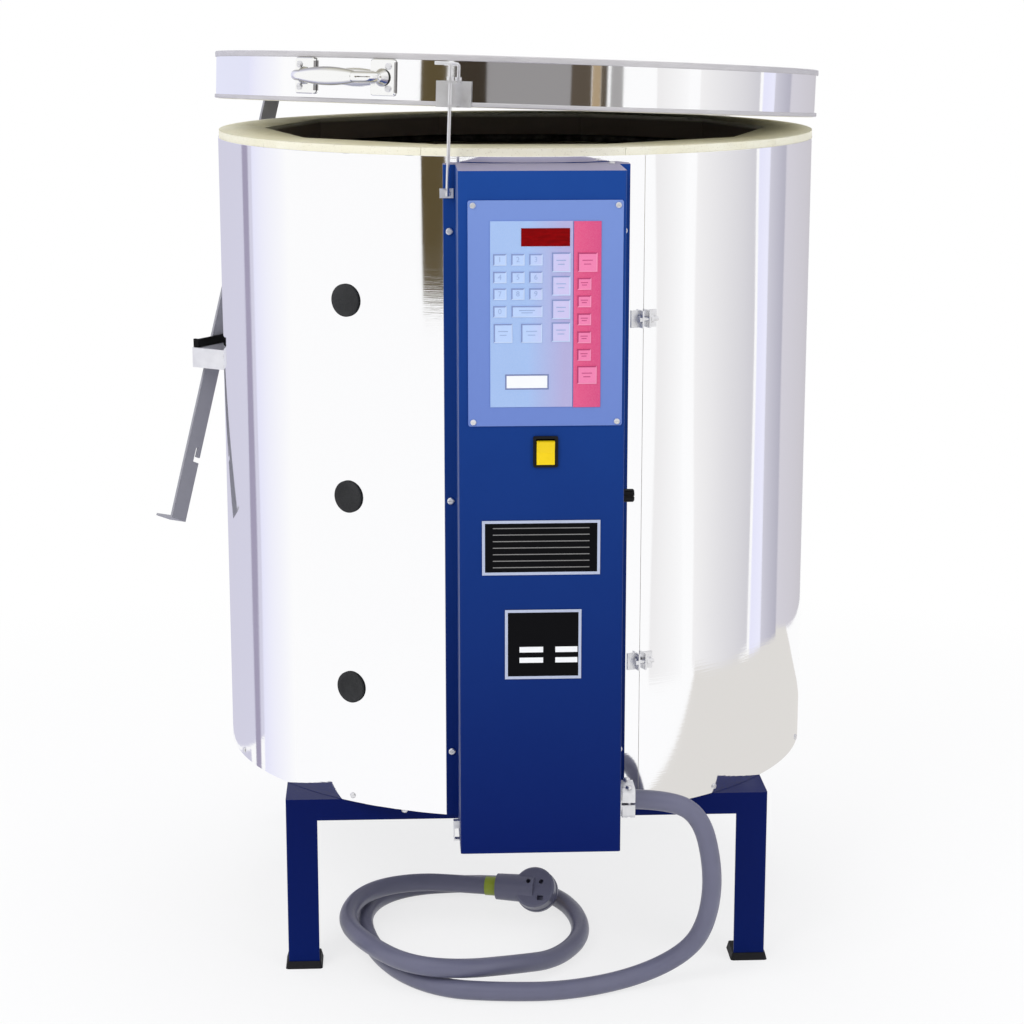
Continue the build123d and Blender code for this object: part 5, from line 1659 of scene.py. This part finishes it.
@dataclass(frozen=True)
class FloorCard:
    """Tinted card that lies on the floor and that only polished metal sees.

    Attributes:
        name: The card's name.
        bearing: Direction from the kiln, in degrees, as for a panel.
        half: Half of its width.
        near: Distance of its near edge from the kiln axis.
        far: Distance of its far edge from the kiln axis.
        colour: What it shines with.
    """

    name: str
    bearing: float
    half: float
    near: float
    far: float
    colour: Colour


@dataclass(frozen=True)
class Lamp:
    """Soft square lamp that points at the middle of the kiln.

    Attributes:
        name: The lamp's name.
        at: Where it hangs.
        size: Length of its sides.
        power: Its power in watts.
        colour: Its colour.
    """

    name: str
    at: Point
    size: float
    power: float
    colour: Colour


@dataclass
class Studio:
    """Pale floor, soft lamps, white surround and the camera.

    Attributes:
        place: Places read from the frame.
        camera_at: Where the camera stands.
        camera_pitch: How far it looks up from straight down, in degrees.
        camera_yaw: Its turn about Z from looking along +Y, in degrees.
        lens: Its lens in millimetres.
        sensor: Width of its sensor in millimetres.
        sight: How far it sees.
        floor_radius: Radius of the floor.
        floor_steps: Steps round the floor.
        paper: Colour of the floor as the lamps light it.
        white_near: Share of pure white in what is seen of the floor under the kiln.
        white_from: Distance from the middle where that share starts to grow.
        white_at: Distance where the floor is pure white.
        sky: Colour of the surround's light.
        ambient: Strength of that light.
        board_gauge: Thickness of the panels.
        card_base: Height of the cards' lower side.
        card_top: Height of their upper side.
        aim_height: Height of the point that the lamps look at.
        panels: The upright panels.
        cards: The cards on the floor.
        lamps: The lamps.
    """

    place: KilnPlace
    camera_at: Point = (-0.1149, -3.0987, 1.2057)
    camera_pitch: float = 77.488
    camera_yaw: float = -2.85
    lens: float = 86.42
    sensor: float = 36.0
    sight: float = 200.0
    floor_radius: float = 14.0
    floor_steps: int = 96
    paper: Colour = (0.93, 0.93, 0.94)
    white_near: float = 0.74
    white_from: float = 0.5
    white_at: float = 1.7
    sky: Colour = (0.96, 0.97, 1.0)
    ambient: float = 0.62
    board_gauge: float = 10.0 * MM
    card_base: float = 1.5 * MM
    card_top: float = 2.5 * MM
    aim_height: float = 0.6
    panels: Tuple[Panel, ...] = (
        Panel("room_door", -28.2, 8.5, 4.0, 0.35, 2.2, (0.10, 0.075, 0.035)),
        Panel("room_shelf", -16.7, 11.5, 4.0, 0.75, 2.2, (0.045, 0.035, 0.025)),
        Panel("room_wall", 3.3, 28.6, 4.2, 0.85, 2.2, (0.30, 0.29, 0.29)),
        Panel("room_post", 22.0, 8.9, 4.0, 0.80, 2.2, (0.10, 0.08, 0.06)),
        Panel("room_frame", 28.3, 3.2, 4.0, 0.80, 2.2, (0.42, 0.32, 0.20)),
        Panel("room_edge", 31.2, 2.4, 4.0, 0.80, 2.2, (0.09, 0.07, 0.05)),
        Panel("room_grey", 35.8, 4.4, 4.0, 0.80, 2.2, (0.38, 0.37, 0.37)),
        Panel("side_warm", 53.0, 12.0, 1.6, 0.0, 2.2, (0.86, 0.85, 0.85), (0.98, 0.98, 0.98)),
        Panel("side_grey", 78.5, 29.0, 1.6, 0.0, 2.2, (0.90, 0.89, 0.89), (0.63, 0.62, 0.66)),
        Panel("side_pale", 98.3, 7.4, 1.6, 0.0, 2.2, (0.80, 0.80, 0.97), (0.86, 0.86, 1.0)),
        Panel("side_line", 108.0, 12.0, 1.6, 0.0, 2.2, (0.62, 0.61, 0.69), (0.46, 0.45, 0.53)),
        Panel("side_edge", 132.0, 36.0, 1.6, 0.0, 2.2, (0.66, 0.64, 0.70), (0.58, 0.56, 0.60)),
        Panel("left_edge", -100.0, 3.6, 0.80, 0.0, 0.975, (0.36, 0.33, 0.45)),
        Panel("left_grey", -140.0, 78.0, 0.84, 0.0, 0.975, (0.62, 0.61, 0.72), (0.66, 0.65, 0.78)),
        Panel("left_band", -135.0, 95.0, 0.83, 0.977, 2.2, (0.78, 0.79, 0.94)),
        Panel("left_lavender", -88.0, 20.0, 0.88, 0.0, 2.2, (0.80, 0.80, 0.96), WHITE),
    )
    cards: Tuple[FloorCard, ...] = (
        FloorCard("floor_right", 95.0, 0.80, 0.42, 1.58, (0.74, 0.72, 0.69)),
        FloorCard("floor_left", -140.0, 0.45, 0.40, 0.80, (0.62, 0.61, 0.73)),
        FloorCard("floor_corner", -88.0, 0.15, 0.40, 0.84, (0.80, 0.80, 0.92)),
    )
    lamps: Tuple[Lamp, ...] = (
        Lamp("key_lamp", (-1.8, -2.6, 2.9), 1.8, 54.0, (1.0, 0.99, 0.97)),
        Lamp("fill_lamp", (2.4, -2.2, 1.9), 1.8, 20.0, (0.96, 0.98, 1.0)),
        Lamp("top_lamp", (0.2, 0.8, 3.2), 2.0, 30.0, WHITE),
    )

    def shoot(self) -> None:
        """Place the camera at the photograph's angle."""
        data = bpy.data.cameras.new("camera")
        data.lens = self.lens
        data.sensor_width = self.sensor
        data.clip_end = self.sight
        camera = bpy.data.objects.new("camera", data)
        camera.location = self.camera_at
        camera.rotation_euler = (math.radians(self.camera_pitch), 0.0, math.radians(self.camera_yaw))
        bpy.context.scene.collection.objects.link(camera)
        bpy.context.scene.camera = camera

    def seen_rays(self, graph: Graph) -> bpy.types.NodeSocket:
        """1 for rays that look at the scene: camera, glossy and transmission.

        Args:
            graph: Where the nodes are added.

        Returns:
            The factor's socket.
        """
        path = graph.node("ShaderNodeLightPath")
        first = graph.math("MAXIMUM", path.outputs["Is Camera Ray"], path.outputs["Is Glossy Ray"])
        return graph.math("MAXIMUM", first, path.outputs["Is Transmission Ray"])

    def floor(self) -> None:
        """Round white floor that fades into the white surround."""
        graph = Graph(bpy.data.materials.new("studio_floor"))
        coordinates = graph.node("ShaderNodeTexCoord")
        length = graph.node("ShaderNodeVectorMath", operation="LENGTH")
        graph.link(coordinates.outputs["Object"], length.inputs[0])
        fade = graph.span(length.outputs["Value"], self.white_from, self.white_at, self.white_near, 1.0)
        seen = graph.math("MULTIPLY", fade, self.seen_rays(graph))
        paper = graph.plain("ShaderNodeBsdfDiffuse", self.paper)
        graph.mix(seen, paper, graph.plain("ShaderNodeEmission", WHITE))
        shape = Shape()
        bmesh.ops.create_circle(shape.bm, cap_ends=True, radius=self.floor_radius, segments=self.floor_steps)
        shape.piece("studio_floor", graph.owner)

    def surround(self) -> None:
        """White world for what is seen, and softer light for what is lit."""
        graph = Graph(bpy.data.worlds.new("surround"), "ShaderNodeOutputWorld")
        bpy.context.scene.world = graph.owner
        soft = graph.plain("ShaderNodeBackground", self.sky)
        soft.inputs["Strength"].default_value = self.ambient
        graph.mix(self.seen_rays(graph), soft, graph.plain("ShaderNodeBackground", WHITE))

    def stand(self, name: str, bearing: float, low: Point, high: Point, graph: Graph) -> None:
        """Place one slab round the kiln, seen only in reflections.

        Args:
            name: The slab's name.
            bearing: Direction from the kiln, in degrees from the camera's.
            low: Lowest corner before it is turned, with the camera at -Y.
            high: Highest corner.
            graph: Its material's graph.
        """
        spin = Matrix.Rotation(math.radians(bearing + self.camera_yaw), 4, "Z")
        board = Shape().slab(low, high).turn(self.place.upright() @ spin).piece(name, graph.owner)
        board.visible_camera = False
        board.visible_diffuse = False
        board.visible_shadow = False
        board.visible_transmission = False

    def glow(self, name: str, colour: Colour) -> Tuple[Graph, bpy.types.Node]:
        """Start a material with an even glow.

        Args:
            name: The material's name.
            colour: What it shines with.

        Returns:
            The material's graph and its glowing node.
        """
        graph = Graph(bpy.data.materials.new(name))
        glow = graph.plain("ShaderNodeEmission", colour)
        graph.link(glow.outputs["Emission"], graph.output.inputs["Surface"])
        return graph, glow

    def raise_panel(self, panel: Panel) -> None:
        """Stand one panel, facing the kiln.

        Args:
            panel: The panel.
        """
        graph, glow = self.glow(panel.name, panel.colour)
        half = panel.distance * math.tan(math.radians(panel.width / 2))
        if panel.turned is not None:
            around = math.radians(panel.bearing + self.camera_yaw)
            across = Vector((math.cos(around), math.sin(around), 0.0))
            middle = self.place.axis.dot(across)
            coordinates = graph.node("ShaderNodeTexCoord")
            along = graph.node("ShaderNodeVectorMath", operation="DOT_PRODUCT")
            along.inputs[1].default_value = across
            graph.link(coordinates.outputs["Object"], along.inputs[0])
            share = graph.span(along.outputs["Value"], middle - half, middle + half, 0.0, 1.0)
            graph.link(graph.blend(share, panel.colour, panel.turned), glow.inputs["Color"])
        low = (-half, -panel.distance, panel.base)
        high = (half, -panel.distance + self.board_gauge, panel.top)
        self.stand(panel.name, panel.bearing, low, high, graph)

    def lay_card(self, card: FloorCard) -> None:
        """Lay one card on the floor.

        Args:
            card: The card.
        """
        graph, _ = self.glow(card.name, card.colour)
        low = (-card.half, -card.far, self.card_base)
        high = (card.half, -card.near, self.card_top)
        self.stand(card.name, card.bearing, low, high, graph)

    def hang(self, lamp: Lamp) -> None:
        """Hang one lamp and turn it to the middle of the kiln.

        Args:
            lamp: The lamp.
        """
        data = bpy.data.lights.new(lamp.name, "AREA")
        data.shape = "SQUARE"
        data.size = lamp.size
        data.energy = lamp.power
        data.color = lamp.colour
        made = bpy.data.objects.new(lamp.name, data)
        made.location = lamp.at
        aim = self.place.axis + Vector((0.0, 0.0, self.aim_height)) - Vector(lamp.at)
        made.rotation_euler = aim.to_track_quat("-Z", "Y").to_euler()
        made.visible_glossy = False
        bpy.context.scene.collection.objects.link(made)

    def build(self) -> None:
        """Set up everything round the kiln."""
        self.shoot()
        self.floor()
        self.surround()
        for panel in self.panels:
            self.raise_panel(panel)
        for card in self.cards:
            self.lay_card(card)
        for lamp in self.lamps:
            self.hang(lamp)
        bpy.context.scene.view_settings.view_transform = "Standard"


def dress_nodes(frame: dict, materials: Dict[str, bpy.types.Material]) -> None:
    """Give every CAD node the finish of its material slot.

    Args:
        materials: Finished materials by slot.
    """
    for part in frame["record"]["subparts"]:
        mesh = frame["nodes"][part["node"]].data
        mesh.materials.clear()
        mesh.materials.append(materials[part["material_slot"]])


def main() -> None:
    """Load the frame and build every sub-assembly."""
    logging.basicConfig(level=logging.INFO, format="%(name)s: %(message)s")
    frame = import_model()
    place = KilnPlace(KilnSizes(), frame)
    materials = {slot: finish.make() for slot, finish in FINISHES.items()}
    materials.update({ink: finish.make() for ink, (_, finish) in PRINTS.items()})
    materials["satin_edge"] = SatinEdge().make()
    dress_nodes(frame, materials)
    Studio(place).build()
    MainsCord(place, materials, frame["nodes"]).build()
    Shell(place, materials).build()
    PeepholePlugs(place, materials, frame["nodes"]).build()
    Prints(materials, frame["nodes"]).build()


if __name__ == "__main__":
    main()
